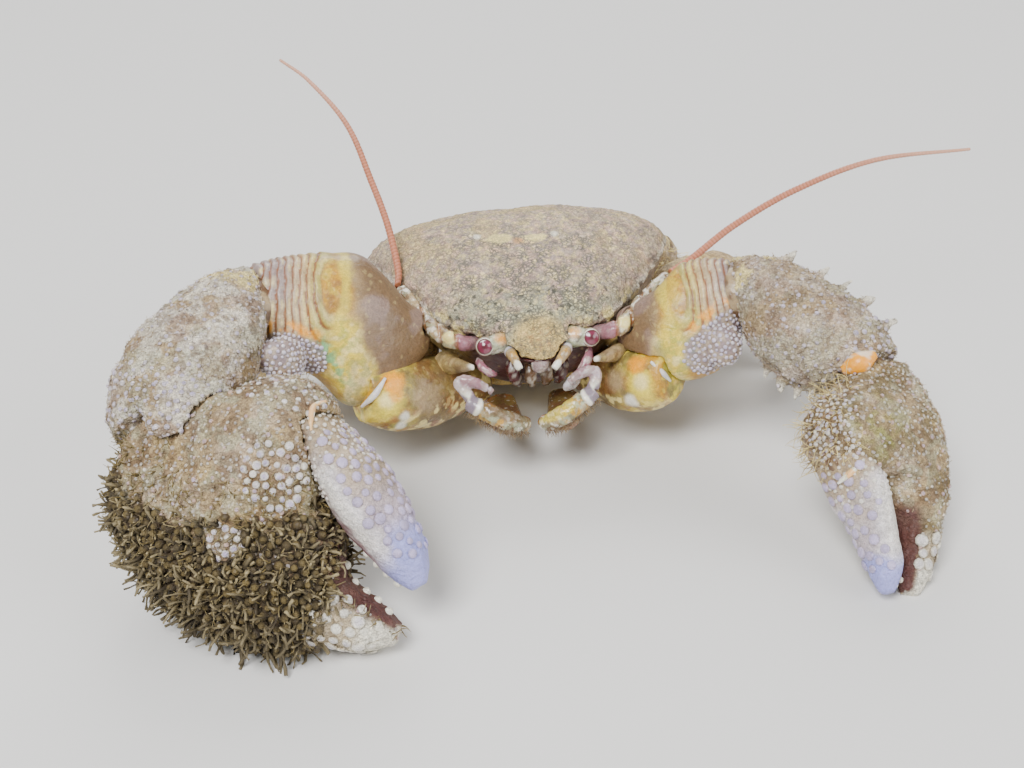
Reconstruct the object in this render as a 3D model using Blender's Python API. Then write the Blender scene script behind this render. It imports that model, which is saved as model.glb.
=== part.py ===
"""A thick-clawed porcelain crab at life size, standing with both claws hanging in front of it.

Sizes and places are millimetres, and make_object turns them into metres. Places are measured from
the point midway between the eyes: x to the crab's left, y to its rear, z up. Its face looks along -y.
At the end the whole crab is lifted so that its feet stand on z = 0 under the middle of its box.
"""

import math
import random
from dataclasses import dataclass

import bmesh
import bpy
from mathutils import Vector

MM = 0.001
GAP = 0.3
EYE_HEIGHT = 7.0
FLOOR = -EYE_HEIGHT
CRISP = math.radians(38)
FRONT_ABOVE = Vector((-0.07, -0.85, 0.53))

# The body: where each cross-section lies from front to rear, its half width, and the levels of its
# margin, its crest and its belly.
BODY_SECTIONS = (
    (-1.35, 0.30, -0.35, -0.22, -0.55),
    (-1.10, 1.00, -0.20, 0.12, -0.75),
    (-0.50, 1.70, 0.10, 0.75, -1.10),
    (0.30, 2.10, 0.30, 1.20, -2.00),
    (0.75, 3.20, 0.35, 1.45, -2.80),
    (1.20, 4.10, 0.45, 1.75, -3.30),
    (2.60, 5.30, 0.65, 2.45, -4.20),
    (4.80, 6.70, 1.00, 3.15, -4.90),
    (7.20, 7.90, 1.10, 3.50, -5.00),
    (9.20, 8.20, 0.65, 3.10, -4.90),
    (11.20, 7.30, -0.10, 2.20, -4.50),
    (12.80, 5.90, -0.75, 1.00, -3.80),
    (13.80, 4.60, -1.05, 0.10, -2.90),
    (14.20, 4.00, -1.20, -0.50, -2.20),
)
SPLIT_LEVEL = -1.2
SPLIT_SLOPE = -0.09

EYE_PLACE = Vector((2.70, -0.32, 0.02))
EYE_RADIUS = 0.50
STALK_ROOT = Vector((1.15, 0.35, -0.15))


@dataclass
class HeadSide:
    """Places on one side of the head: the feelers and the outer jaw with its palp."""

    side: str
    hand: int
    antenna_base: tuple
    antenna: tuple
    antennule: tuple
    jaw_base: tuple
    jaw_arm: tuple
    palp: tuple
    cheek: tuple


RIGHT_HEAD = HeadSide(
    "right", -1,
    ((-3.10, 0.95, -0.45), (-3.85, 0.22, 0.02), (-4.75, 0.65, 0.25), (-5.85, 2.45, 0.70),
     (-6.72, 4.05, 1.35)),
    ((-6.75, 4.66, 1.96), (-6.87, 5.90, 2.78), (-7.16, 7.60, 3.77), (-7.75, 9.76, 5.04),
     (-8.87, 13.00, 7.22), (-10.87, 15.62, 9.05), (-12.38, 16.98, 9.87)),
    ((-1.45, 0.45, -0.75), (-1.40, -0.70, -0.35), (-1.05, -1.35, -0.90)),
    ((-1.90, 1.60, -4.60), (-1.75, -0.90, -4.45), (-1.15, -2.25, -3.60)),
    ((-2.25, -2.90, -2.75), (-3.85, -2.10, -2.10)),
    ((-3.70, -2.00, -2.00), (-4.15, -1.50, -1.25), (-3.35, -1.65, -1.30), (-2.55, -1.95, -1.75)),
    ((-4.75, 1.60, -1.90), (-4.20, 0.10, -1.20), (-3.35, -0.95, -0.80)))
LEFT_HEAD = HeadSide(
    "left", 1,
    ((3.10, 0.90, -0.40), (3.82, 0.05, 0.10), (4.70, 0.35, 0.33), (6.00, 1.85, 0.85), (7.35, 3.00, 1.40)),
    ((8.71, 3.72, 1.86), (11.38, 5.30, 2.87), (15.16, 6.85, 3.97),
     (19.91, 7.95, 4.88), (25.34, 8.05, 5.05)),
    ((1.50, 0.45, -0.80), (1.35, -0.85, -0.35), (0.65, -1.50, -0.95)),
    ((1.50, 1.60, -4.60), (1.15, -0.90, -4.45), (0.15, -2.30, -3.60)),
    ((1.05, -2.95, -2.75), (2.60, -2.30, -2.00)),
    ((2.50, -2.20, -1.90), (2.75, -1.75, -1.25), (2.05, -1.75, -1.15), (1.35, -1.90, -1.60)),
    ((4.75, 1.60, -1.90), (4.00, -0.10, -1.20), (2.75, -1.20, -0.80)))

LEG_ROOTS = ((4.9, 4.6), (5.3, 7.2), (4.9, 9.6))
LEG_SWEEPS = (8.0, 29.0, 52.0)
LEG_REACHES = (0.96, 1.0, 0.86)
LEG_RISES = (1.0, 1.0, 0.1)
LEG_NAMES = ("first", "second", "third")
LEG_ROOT_LEVEL = -3.3
LEG_PATH = ((0.0, LEG_ROOT_LEVEL), (2.8, -3.3), (6.5, -2.3), (8.8, -3.2), (10.3, -5.4), (10.3, FLOOR))


@dataclass
class Girth:
    """Half sizes of one cross-section, at a share of the piece's length."""

    at: float
    upper: float
    lower: float
    face: float
    back: float

    def row(self):
        return (self.upper, self.lower, self.face, self.back)


def even(at, height, thickness):
    """A cross-section with the same half size on both sides of its middle."""
    return Girth(at, height, height, thickness, thickness)


COXA = (even(0.0, 1.15, 1.05), even(0.5, 1.30, 1.15), even(1.0, 1.0, 0.85))
LEG_MERUS = (even(0.0, 0.95, 0.80), even(0.35, 1.50, 1.15), even(0.7, 1.40, 1.10), even(1.0, 0.95, 0.80))
LEG_CARPUS = (even(0.0, 0.90, 0.76), even(0.5, 1.18, 1.00), even(1.0, 0.90, 0.78))
LEG_PROPODUS = (even(0.0, 0.84, 0.72), even(0.4, 1.02, 0.86), even(1.0, 0.66, 0.58))
LEG_DACTYL = (even(0.0, 0.60, 0.52), even(0.5, 0.46, 0.40), even(1.0, 0.28, 0.28))
BRUSH_LEG_PATH = ((4.2, 11.8, -3.1), (5.1, 13.4, -3.0), (5.2, 14.4, -2.4), (4.6, 14.9, -1.7))
BRUSH_LEG = (even(0.0, 0.50, 0.40), even(0.4, 0.46, 0.38), even(0.8, 0.40, 0.34), even(1.0, 0.26, 0.26))
PEDUNCLE = (even(0.0, 0.40, 0.36), even(0.3, 0.46, 0.42), even(0.6, 0.42, 0.38), even(1.0, 0.34, 0.32))
LASH = (even(0.0, 0.20, 0.20), even(0.6, 0.16, 0.16), even(1.0, 0.08, 0.08))
ANTENNULE = (even(0.0, 0.34, 0.30), even(0.5, 0.32, 0.30), even(1.0, 0.18, 0.18))
STALK = (even(0.0, 0.50, 0.50), even(0.4, 0.56, 0.52), even(1.0, 0.44, 0.44))
JAW_BASE = (even(0.0, 0.8, 0.5), even(0.5, 0.9, 0.5), even(1.0, 0.52, 0.42))
JAW_ARM = (even(0.0, 0.50, 0.42), even(0.4, 0.50, 0.48), even(0.8, 0.48, 0.46), even(1.0, 0.38, 0.38))
PALP = (even(0.0, 0.30, 0.28), even(0.5, 0.30, 0.28), even(1.0, 0.18, 0.18))
CHEEK = (even(0.0, 0.7, 0.7), even(0.6, 0.45, 0.35), even(1.0, 0.16, 0.14))
LOBE = (even(0.0, 0.5, 0.3), even(0.25, 1.15, 0.7), even(0.6, 1.25, 0.75), even(1.0, 0.5, 0.3))
TAIL_FOLD = ((0, 13.2, -1.75), (0, 14.3, -2.5), (0, 13.8, -4.4), (0, 11.4, -5.55), (0, 9.2, -5.85))
TAIL = (Girth(0.0, 0.45, 0.45, 2.9, 2.9), Girth(0.25, 0.50, 0.50, 3.5, 3.5), Girth(0.7, 0.50, 0.50, 4.4, 4.4),
        Girth(1.0, 0.42, 0.42, 4.3, 4.3))
FAN_PATH = ((0, 7.0, -5.85), (0, 5.2, -5.65))
FAN = (Girth(0.0, 0.42, 0.42, 4.2, 4.2), Girth(0.5, 0.42, 0.42, 4.3, 4.3), Girth(0.85, 0.36, 0.36, 3.2, 3.2),
       Girth(1.0, 0.28, 0.28, 2.0, 2.0))
LEG_PIECES = (("coxa", COXA), ("merus", LEG_MERUS), ("carpus", LEG_CARPUS),
              ("propodus", LEG_PROPODUS), ("dactyl", LEG_DACTYL))

ISCHIUM = (Girth(0.0, 1.3, 1.2, 1.2, 1.1), Girth(0.45, 1.6, 2.1, 1.7, 1.4), Girth(0.8, 1.6, 2.1, 1.7, 1.4),
           Girth(1.0, 1.3, 1.5, 1.3, 1.1))
BIG_MERUS = (Girth(0.0, 1.0, 1.3, 1.0, 1.2), Girth(0.13, 1.4, 2.7, 1.5, 1.7), Girth(0.25, 2.5, 3.8, 1.9, 1.9),
             Girth(0.42, 3.6, 4.1, 2.2, 2.1), Girth(0.62, 3.5, 2.8, 2.2, 2.0),
             Girth(0.83, 2.9, 2.5, 2.0, 1.8), Girth(1.0, 2.2, 2.1, 1.6, 1.4))
SMALL_MERUS = (Girth(0.0, 0.8, 1.5, 1.0, 1.2), Girth(0.15, 1.2, 2.2, 1.5, 1.6),
               Girth(0.32, 1.7, 2.9, 1.8, 1.8), Girth(0.55, 2.6, 3.2, 1.9, 1.8),
               Girth(0.8, 2.6, 2.7, 1.7, 1.6), Girth(1.0, 1.9, 2.0, 1.4, 1.2))
BIG_CARPUS = (Girth(0.0, 2.1, 1.3, 1.6, 1.4), Girth(0.2, 3.0, 1.6, 2.4, 2.0), Girth(0.6, 3.8, 2.3, 2.7, 2.3),
              Girth(0.85, 3.6, 2.3, 2.6, 2.2), Girth(1.0, 2.9, 2.1, 2.1, 1.8))
SMALL_CARPUS = (Girth(0.0, 2.1, 1.8, 1.6, 1.4), Girth(0.2, 2.9, 2.2, 2.4, 2.0),
                Girth(0.6, 3.1, 2.6, 2.6, 2.3), Girth(0.85, 2.7, 2.4, 2.4, 2.2),
                Girth(1.0, 2.1, 2.1, 1.9, 1.8))


@dataclass
class ClawSize:
    """One claw's own sizes, measured from the wrist along the claw and across it."""

    palm_length: float
    palm_girths: tuple
    thumb: tuple
    thumb_girths: tuple
    finger: tuple
    finger_girths: tuple


BIG_CLAW = ClawSize(
    8.0,
    (Girth(0.0, 2.3, 2.6, 1.5, 1.5), Girth(0.18, 3.5, 5.4, 2.1, 2.2), Girth(0.46, 4.9, 6.5, 3.2, 2.9),
     Girth(0.7, 5.0, 6.7, 3.3, 2.8), Girth(0.85, 4.1, 6.5, 2.9, 2.6), Girth(1.0, 1.7, 6.1, 2.0, 2.0)),
    ((5.0, -3.3), (8.4, -3.2), (11.0, -2.95), (12.7, -2.65), (14.05, -2.2)),
    (Girth(0.0, 4.9, 3.6, 2.9, 1.9), Girth(0.37, 4.2, 3.0, 2.9, 1.9), Girth(0.52, 3.2, 2.6, 2.5, 1.8),
     Girth(0.66, 1.7, 1.7, 1.9, 1.5), Girth(0.85, 1.2, 1.2, 1.3, 1.1), Girth(1.0, 0.5, 0.55, 0.6, 0.5)),
    ((5.85, 3.55), (7.9, 2.65), (10.3, 1.65), (12.5, 0.75), (13.75, 0.05)),
    (Girth(0.0, 0.9, 0.6, 2.4, 2.0), Girth(0.3, 1.5, 1.25, 2.8, 2.35), Girth(0.55, 1.55, 1.45, 2.2, 1.8),
     Girth(0.82, 1.15, 1.1, 1.3, 1.1), Girth(0.94, 0.75, 0.75, 0.8, 0.7), Girth(1.0, 0.42, 0.42, 0.45, 0.4)))
SMALL_CLAW = ClawSize(
    7.6,
    (Girth(0.0, 2.3, 3.4, 1.7, 1.6), Girth(0.2, 3.4, 4.9, 2.3, 2.2), Girth(0.5, 4.7, 5.3, 3.2, 2.9),
     Girth(0.75, 4.9, 5.2, 3.2, 2.8), Girth(0.9, 3.9, 4.9, 2.9, 2.5), Girth(1.0, 2.6, 4.6, 2.6, 2.3)),
    ((5.0, -2.5), (8.6, -2.6), (11.0, -2.4), (12.9, -2.1), (14.4, -1.7)),
    (Girth(0.0, 3.6, 2.8, 2.6, 1.9), Girth(0.37, 2.8, 2.2, 2.4, 1.8), Girth(0.6, 1.5, 1.5, 1.9, 1.5),
     Girth(0.85, 1.05, 1.1, 1.2, 1.0), Girth(1.0, 0.5, 0.55, 0.6, 0.5)),
    ((6.3, 3.1), (8.2, 1.7), (10.4, 0.7), (12.7, 0.2), (14.6, 0.1)),
    (Girth(0.0, 1.0, 0.8, 2.2, 2.0), Girth(0.3, 1.3, 1.2, 2.1, 2.2), Girth(0.55, 1.2, 1.2, 1.5, 1.6),
     Girth(0.82, 1.05, 1.0, 1.2, 1.0), Girth(0.94, 0.7, 0.7, 0.75, 0.65), Girth(1.0, 0.4, 0.4, 0.4, 0.35)))


@dataclass
class Arm:
    """One claw arm: its places from the body out, the way its claw's face looks, and its claw's size."""

    side: str
    hand: int
    root: Vector
    hip: Vector
    shoulder: Vector
    bend: Vector
    elbow: Vector
    wrist: Vector
    finger_tip: Vector
    claw_face: Vector
    merus: tuple
    merus_lobe: tuple
    carpus: tuple
    carpus_lobe: tuple
    claw: ClawSize
    girth_scale: float
    claw_scale: float
    spines: tuple
    teeth: tuple
    tufts: int
    tuft_length: float
    grains: int
    seed: int


BIG_ARM = Arm(
    side="right", hand=-1, root=Vector((-2.9, 2.8, -3.9)), hip=Vector((-9.2, -0.85, -1.8)),
    shoulder=Vector((-5.6, 2.2, -0.15)), bend=Vector((-9.4, 1.4, 0.95)), elbow=Vector((-14.2, 0.9, 2.6)),
    wrist=Vector((-17.6, -6.3, 0.8)), finger_tip=Vector((-7.0, -13.6, -4.3)),
    claw_face=Vector((-0.22, -0.76, 0.61)), merus=BIG_MERUS,
    merus_lobe=((-11.9, -1.2, 0.6), (-13.0, -2.1, 1.4), (-14.0, -2.2, 1.9)), carpus=BIG_CARPUS,
    carpus_lobe=((-16.3, -3.4, 3.0), (-17.0, -6.2, 2.7), (-17.5, -8.6, 1.8)), claw=BIG_CLAW,
    girth_scale=1.0, claw_scale=1.0, spines=(), teeth=(), tufts=44, tuft_length=1.9, grains=46, seed=5)
SMALL_ARM = Arm(
    side="left", hand=1, root=Vector((2.9, 2.8, -3.9)), hip=Vector((6.8, -1.55, -1.9)),
    shoulder=Vector((4.7, 1.6, -0.55)), bend=Vector((7.9, 0.1, 0.4)), elbow=Vector((10.4, 0.1, 1.5)),
    wrist=Vector((15.4, -5.4, -0.4)), finger_tip=Vector((14.15, -14.6, -6.35)),
    claw_face=Vector((0.50, -0.50, 0.70)), merus=SMALL_MERUS,
    merus_lobe=((8.4, -1.9, -0.45), (9.2, -2.2, 0.15), (9.9, -2.0, 0.6)), carpus=SMALL_CARPUS,
    carpus_lobe=(), claw=SMALL_CLAW, girth_scale=0.92, claw_scale=0.76, spines=(0.22, 0.38, 0.54, 0.70, 0.85),
    teeth=(0.45, 0.6, 0.75, 0.9), tufts=14, tuft_length=1.3, grains=20, seed=8)


def hermite(knots, rows, t):
    """Smooth values at t through rows of numbers given at rising knots."""
    last = len(knots) - 1
    i = min(max(sum(k <= t for k in knots) - 1, 0), last - 1)
    span = knots[i + 1] - knots[i]
    u = min(max((t - knots[i]) / span, 0.0), 1.0)

    def slope(j):
        low, high = max(j - 1, 0), min(j + 1, last)
        return [(b - a) / (knots[high] - knots[low]) for a, b in zip(rows[low], rows[high])]

    start, end = slope(i), slope(i + 1)
    rise = 3 * u**2 - 2 * u**3
    weights = (1 - rise, (u**3 - 2 * u**2 + u) * span, rise, (u**3 - u**2) * span)
    return [
        weights[0] * a + weights[1] * m + weights[2] * b + weights[3] * n
        for a, m, b, n in zip(rows[i], start, rows[i + 1], end)
    ]


@dataclass
class Piece:
    """A limb piece: cross-sections carried along a path, from one joint's plane to the next."""

    path: tuple
    face: Vector
    girths: tuple
    hand: int = 1
    start_normal: Vector = None
    end_normal: Vector = None
    power: float = 2.2
    scale: float = 1.0

    def __post_init__(self):
        self.points = [Vector(p) for p in self.path]
        steps = [(b - a).length for a, b in zip(self.points, self.points[1:])]
        self.length = sum(steps)
        self.knots = [sum(steps[:i]) / self.length for i in range(len(self.points))]
        self.sections = [girth.at for girth in self.girths]
        self.rows = [girth.row() for girth in self.girths]

    def centre(self, t):
        if len(self.points) == 2:
            return self.points[0].lerp(self.points[1], t)
        return Vector(hermite(self.knots, self.points, t))

    def frame(self, t):
        """The middle of the section at t, and its along, upper and face directions."""
        step = 0.01
        along = (self.centre(min(t + step, 1.0)) - self.centre(max(t - step, 0.0))).normalized()
        if self.start_normal:
            along = along.lerp(self.start_normal, max(0.0, 1 - 2 * t) ** 2).normalized()
        if self.end_normal:
            along = along.lerp(self.end_normal, max(0.0, 2 * t - 1) ** 2).normalized()
        upper = self.hand * self.face.cross(along).normalized()
        face = self.hand * along.cross(upper).normalized()
        return self.centre(t), along, upper, face

    def surface(self, t, angle, grow=0.0):
        """The point of the skin at a share t of the length and an angle from upper towards face."""
        middle, _, upper, face = self.frame(t)
        high, low, front, back = [self.scale * r + grow for r in hermite(self.sections, self.rows, t)]
        c, s = math.cos(angle), math.sin(angle)
        rise = math.copysign(abs(c) ** (2 / self.power), c) * (high if c > 0 else low)
        out = math.copysign(abs(s) ** (2 / self.power), s) * (front if s > 0 else back)
        return middle + upper * rise + face * out

    def outward(self, t, angle):
        """The direction square to the skin at that point."""
        step = 0.02
        ahead = self.surface(min(t + step, 1.0), angle) - self.surface(max(t - step, 0.0), angle)
        round_it = self.surface(t, angle + step) - self.surface(t, angle - step)
        normal = ahead.cross(round_it).normalized()
        return normal if normal.dot(self.surface(t, angle) - self.centre(t)) > 0 else -normal

    def rings(self, steps, sides, grow=0.0):
        """The cross-sections as rings of points."""
        return [
            [self.surface(i / steps, 2 * math.pi * k / sides, grow) for k in range(sides)]
            for i in range(steps + 1)
        ]


def clear_scene():
    for old in list(bpy.data.objects):
        bpy.data.objects.remove(old)


def new_collection(name):
    made = bpy.data.collections.new(name)
    bpy.context.scene.collection.children.link(made)
    return made


def make_material(name, colour, roughness):
    material = bpy.data.materials.new(name)
    material.use_nodes = True
    shader = material.node_tree.nodes["Principled BSDF"]
    shader.inputs["Base Color"].default_value = (*colour, 1.0)
    shader.inputs["Roughness"].default_value = roughness
    shader.inputs["Metallic"].default_value = 0.0
    return material


def smooth(mesh):
    """Smooth shading, with the edges of grains, tufts and flat ends kept crisp."""
    mesh.shade_smooth()
    mesh.set_sharp_from_angle(angle=CRISP)


def make_object(name, bm, collection, material=None):
    """Turns a bmesh in millimetres into an object in metres, with its faces pointing out."""
    bmesh.ops.recalc_face_normals(bm, faces=bm.faces)
    bmesh.ops.scale(bm, vec=(MM, MM, MM), verts=bm.verts)
    mesh = bpy.data.meshes.new(name)
    bm.to_mesh(mesh)
    bm.free()
    made = bpy.data.objects.new(name, mesh)
    collection.objects.link(made)
    if material:
        mesh.materials.append(material)
    smooth(mesh)
    return made


def loft(rings):
    """A closed bmesh through rings of points, with a flat cap at each end."""
    bm = bmesh.new()
    rows = [[bm.verts.new(point) for point in ring] for ring in rings]
    sides = len(rings[0])
    for near, far in zip(rows, rows[1:]):
        for k in range(sides):
            bm.faces.new((near[k], near[(k + 1) % sides], far[(k + 1) % sides], far[k]))
    bm.faces.new(rows[0][::-1])
    bm.faces.new(rows[-1])
    return bm


def apply_modifiers(target):
    """Replaces the object's mesh by its evaluated one."""
    bpy.context.view_layer.update()
    graph = bpy.context.evaluated_depsgraph_get()
    mesh = bpy.data.meshes.new_from_object(target.evaluated_get(graph))
    target.modifiers.clear()
    target.data = mesh


def spread(points):
    """How large a box the points fill, as the product of its sides."""
    columns = list(zip(*points))
    return math.prod(max(column) - min(column) for column in columns)


def keep_largest(target):
    """Drops every loose scrap and sealed hollow, and keeps the largest closed surface."""
    bm = bmesh.new()
    bm.from_mesh(target.data)
    left = set(bm.faces)
    groups = []
    while left:
        group, edge = set(), [left.pop()]
        while edge:
            face = edge.pop()
            group.add(face)
            near = {other for e in face.edges if len(e.link_faces) == 2 for other in e.link_faces} & left
            left -= near
            edge.extend(near)
        groups.append(group)
    groups.sort(key=lambda group: spread(vert.co for face in group for vert in face.verts))
    loose = [face for group in groups[:-1] for face in group]
    bmesh.ops.delete(bm, geom=loose, context="FACES")
    bm.to_mesh(target.data)
    bm.free()
    smooth(target.data)


def combine(target, pieces, operation, solver="MANIFOLD"):
    """Joins closed pieces to the target, or cuts them from it, and removes them."""
    group = new_collection(target.name + "_pieces")
    for piece in pieces:
        for held in list(piece.users_collection):
            held.objects.unlink(piece)
        group.objects.link(piece)
    boolean = target.modifiers.new("combine", "BOOLEAN")
    boolean.operation = operation
    boolean.operand_type = "COLLECTION"
    boolean.collection = group
    boolean.solver = solver
    apply_modifiers(target)
    for piece in pieces:
        bpy.data.objects.remove(piece)
    bpy.data.collections.remove(group)
    keep_largest(target)


def trim(target, point, normal):
    """Cuts away what lies beyond a plane, and closes the cut with a flat face."""
    bm = bmesh.new()
    bm.from_mesh(target.data)
    cut = bmesh.ops.bisect_plane(
        bm, geom=bm.verts[:] + bm.edges[:] + bm.faces[:], plane_co=Vector(point) * MM,
        plane_no=Vector(normal), clear_outer=True)
    edges = [e for e in cut["geom_cut"] if isinstance(e, bmesh.types.BMEdge)]
    bmesh.ops.holes_fill(bm, edges=edges, sides=0)
    bmesh.ops.recalc_face_normals(bm, faces=bm.faces)
    bm.to_mesh(target.data)
    bm.free()
    smooth(target.data)


def body_rings(steps, sides, grow=0.0):
    """Cross-sections of the whole body from the tip of its front to its rear."""
    knots = [row[0] for row in BODY_SECTIONS]
    rows = [row[1:] for row in BODY_SECTIONS]
    dome, belly = 2.05, 1.9
    rings = []
    for place in steps:
        half, margin, crest, under = hermite(knots, rows, place)
        half, crest, under = half + grow, crest + grow, under - grow
        ring = []
        for k in range(sides):
            angle = 2 * math.pi * k / sides
            c, s = math.cos(angle), math.sin(angle)
            power = dome if s > 0 else belly
            height = crest - margin if s > 0 else margin - under
            x = math.copysign(abs(c) ** (2 / power), c) * half
            z = margin + math.copysign(abs(s) ** (2 / power), s) * height
            ring.append(Vector((x, place, z)))
        rings.append(ring)
    return rings


def body_places():
    """Where the body's cross-sections are taken: the listed places and midway between the larger."""
    places = [row[0] for row in BODY_SECTIONS]
    middles = [(a + b) / 2 for a, b in zip(places[6:10], places[7:11])]
    return sorted(places + middles)


def make_body(parts, shell, flesh):
    """The carapace and the thorax: one body, parted by a thin sloping cut."""
    rings = body_rings(body_places(), 26)
    carapace = make_object("carapace", loft(rings), parts, shell)
    thorax = make_object("thorax", loft(rings), parts, flesh)
    up = Vector((0, -SPLIT_SLOPE, 1)).normalized()
    middle = Vector((0, 6.5, SPLIT_LEVEL))
    trim(carapace, middle + up * GAP / 2, -up)
    trim(thorax, middle - up * GAP / 2, up)
    return carapace, thorax


def make_piece(name, piece, parts, material, steps=4, sides=10):
    """One node from one piece."""
    return make_object(name, loft(piece.rings(steps, sides)), parts, material)


def inflated(piece, cutters, steps=4, sides=10):
    """A piece swollen by the gap, to cut its seat in what it grows from.

    Its ends reach a little less far than the gap, so that they never lie in the plane of a neighbour's end.
    """
    ends = piece.rings(steps, sides, GAP)
    reach = GAP * 0.95
    along, onward = piece.frame(0.0)[1], piece.frame(1.0)[1]
    ends[0] = [point - along * reach for point in ends[0]]
    ends[-1] = [point + onward * reach for point in ends[-1]]
    return make_object("seat", loft(ends), cutters)


def joint_normals(joints):
    """The direction in which the limb passes each joint: midway between the pieces that meet there."""
    ways = [(b - a).normalized() for a, b in zip(joints, joints[1:])]
    middle = [(a + b).normalized() for a, b in zip(ways, ways[1:])]
    return [ways[0], *middle, ways[-1]]


def between(joints, normals, index):
    """The ends of the piece between two joints, each half a gap short of its joint's plane."""
    start = joints[index] + normals[index] * GAP / 2
    end = joints[index + 1] - normals[index + 1] * GAP / 2
    return start, end


def leg_pieces(number, side):
    """The five pieces of one walking leg, root to tip."""
    sweep = math.radians(LEG_SWEEPS[number])
    way = Vector((side * math.cos(sweep), math.sin(sweep), 0))
    root = Vector((side * LEG_ROOTS[number][0], LEG_ROOTS[number][1], 0))
    joints = []
    for reach, level in LEG_PATH:
        rise = max(level - LEG_ROOT_LEVEL, 0.0) * (LEG_RISES[number] - 1.0)
        joints.append(root + way * reach * LEG_REACHES[number] + Vector((0, 0, level + rise)))
    normals = joint_normals(joints)
    normals[-1] = Vector((0, 0, -1))
    face = Vector((0, 0, 1)).cross(way)
    made = []
    for index, (kind, girths) in enumerate(LEG_PIECES):
        start, end = between(joints, normals, index)
        if kind == "dactyl":
            end = joints[-1]
        made.append((kind, Piece((start, end), face, girths, 1, normals[index], normals[index + 1])))
    return made


def make_legs(parts, cutters, shell):
    """Three pairs of walking legs. Returns the cutters for their seats in the thorax."""
    seats = []
    for side, side_name in ((1, "left"), (-1, "right")):
        for number, leg_name in enumerate(LEG_NAMES):
            for kind, piece in leg_pieces(number, side):
                sides, steps = (8, 3) if kind in ("carpus", "dactyl") else (8, 4)
                make_piece(f"leg_{leg_name}_{side_name}_{kind}", piece, parts, shell, steps, sides)
                if kind in ("coxa", "merus"):
                    seats.append(inflated(piece, cutters, steps, sides))
    return seats


def make_brush_legs(parts, cutters, shell):
    """The last, tiny pair of legs, folded against the rear of the body."""
    seats = []
    for side, side_name in ((1, "left"), (-1, "right")):
        path = tuple((side * x, y, z) for x, y, z in BRUSH_LEG_PATH)
        piece = Piece(path, Vector((0, 0, 1)), BRUSH_LEG)
        make_piece(f"brush_leg_{side_name}", piece, parts, shell, 7, 6)
        seats.append(inflated(piece, cutters, 7, 6))
    return seats


def make_abdomen(parts, cutters, shell):
    """The tail, folded down from the rear margin and forward under the thorax, and its fan."""
    across = Vector((1, 0, 0))
    tail = Piece(TAIL_FOLD, across, TAIL, power=2.3)
    end, onward = tail.frame(1.0)[:2]
    start = end + onward * GAP
    fan = Piece((start, *FAN_PATH), across, FAN, start_normal=onward, power=2.5)
    make_piece("abdomen", tail, parts, shell, 8, 14)
    make_piece("tail_fan", fan, parts, shell, 5, 14)
    return [inflated(tail, cutters, 8, 14), inflated(fan, cutters, 5, 14)]


def make_eye(head, antennule_room, parts, cutters, flesh, eye_black):
    """A short stalk from the side of the front, with a round eye at its end."""
    place, root = EYE_PLACE.copy(), STALK_ROOT.copy()
    place.x *= head.hand
    root.x *= head.hand
    way = (place - root).normalized()
    cut = place - way * EYE_RADIUS * 0.55
    stalk = Piece((root, cut - way * GAP), Vector((0, -1, 0)), STALK)
    made = make_piece(f"eyestalk_{head.side}", stalk, parts, flesh, 4, 10)
    combine(made, [copied(antennule_room, cutters)], "DIFFERENCE")
    bm = bmesh.new()
    bmesh.ops.create_uvsphere(bm, u_segments=12, v_segments=8, radius=EYE_RADIUS)
    bmesh.ops.translate(bm, vec=place, verts=bm.verts)
    eye = make_object(f"eye_{head.side}", bm, parts, eye_black)
    trim(eye, cut, -way)
    bm = bmesh.new()
    bmesh.ops.create_icosphere(bm, subdivisions=2, radius=EYE_RADIUS + GAP)
    bmesh.ops.translate(bm, vec=place, verts=bm.verts)
    return [inflated(stalk, cutters, 4, 10), make_object("seat", bm, cutters)]


def make_feelers(head, parts, cutters, shell, feeler_red):
    """On one side: the antenna's base along the margin, its long lash, and the short antennule."""
    base = Piece(head.antenna_base, Vector((0, 0, 1)), PEDUNCLE)
    make_piece(f"antenna_base_{head.side}", base, parts, shell, 8, 8)
    end, along = base.frame(1.0)[:2]
    path = (end + along * GAP, *head.antenna)
    lash = Piece(path, Vector((0, -0.5, 0.87)), LASH, start_normal=along, power=2.0)
    make_piece(f"antenna_{head.side}", lash, parts, feeler_red, 18, 6)
    short = Piece(head.antennule, Vector((1, 0, 0)), ANTENNULE)
    make_piece(f"antennule_{head.side}", short, parts, shell, 5, 7)
    return [inflated(base, cutters, 8, 8), inflated(lash, cutters, 18, 6), inflated(short, cutters, 5, 7)]


def make_jaw(head, parts, cutters, shell):
    """One outer jaw: a flat base under the mouth and a stout arm that turns outwards, with its palp."""
    base = Piece(head.jaw_base, Vector((0, 0, 1)), JAW_BASE, end_normal=Vector((0, -1, 0.35)).normalized())
    tip, along = base.frame(1.0)[:2]
    arm = Piece((tip + along * GAP, *head.jaw_arm), Vector((0, -1, 0)), JAW_ARM, start_normal=along)
    palp = Piece(head.palp, Vector((0, -1, 0)), PALP)
    make_piece(f"jaw_base_{head.side}", base, parts, shell, 5, 8)
    made = make_piece(f"jaw_arm_{head.side}", arm, parts, shell, 6, 8)
    combine(made, [make_piece("palp", palp, cutters, None, 5, 6)], "UNION")
    return inflated(base, cutters, 5, 8)


def claw_frame(arm):
    """The claw's along, upper and face directions."""
    along = (arm.finger_tip - arm.wrist).normalized()
    face = (arm.claw_face - along * arm.claw_face.dot(along)).normalized()
    return along, -arm.hand * face.cross(along), face


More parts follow.
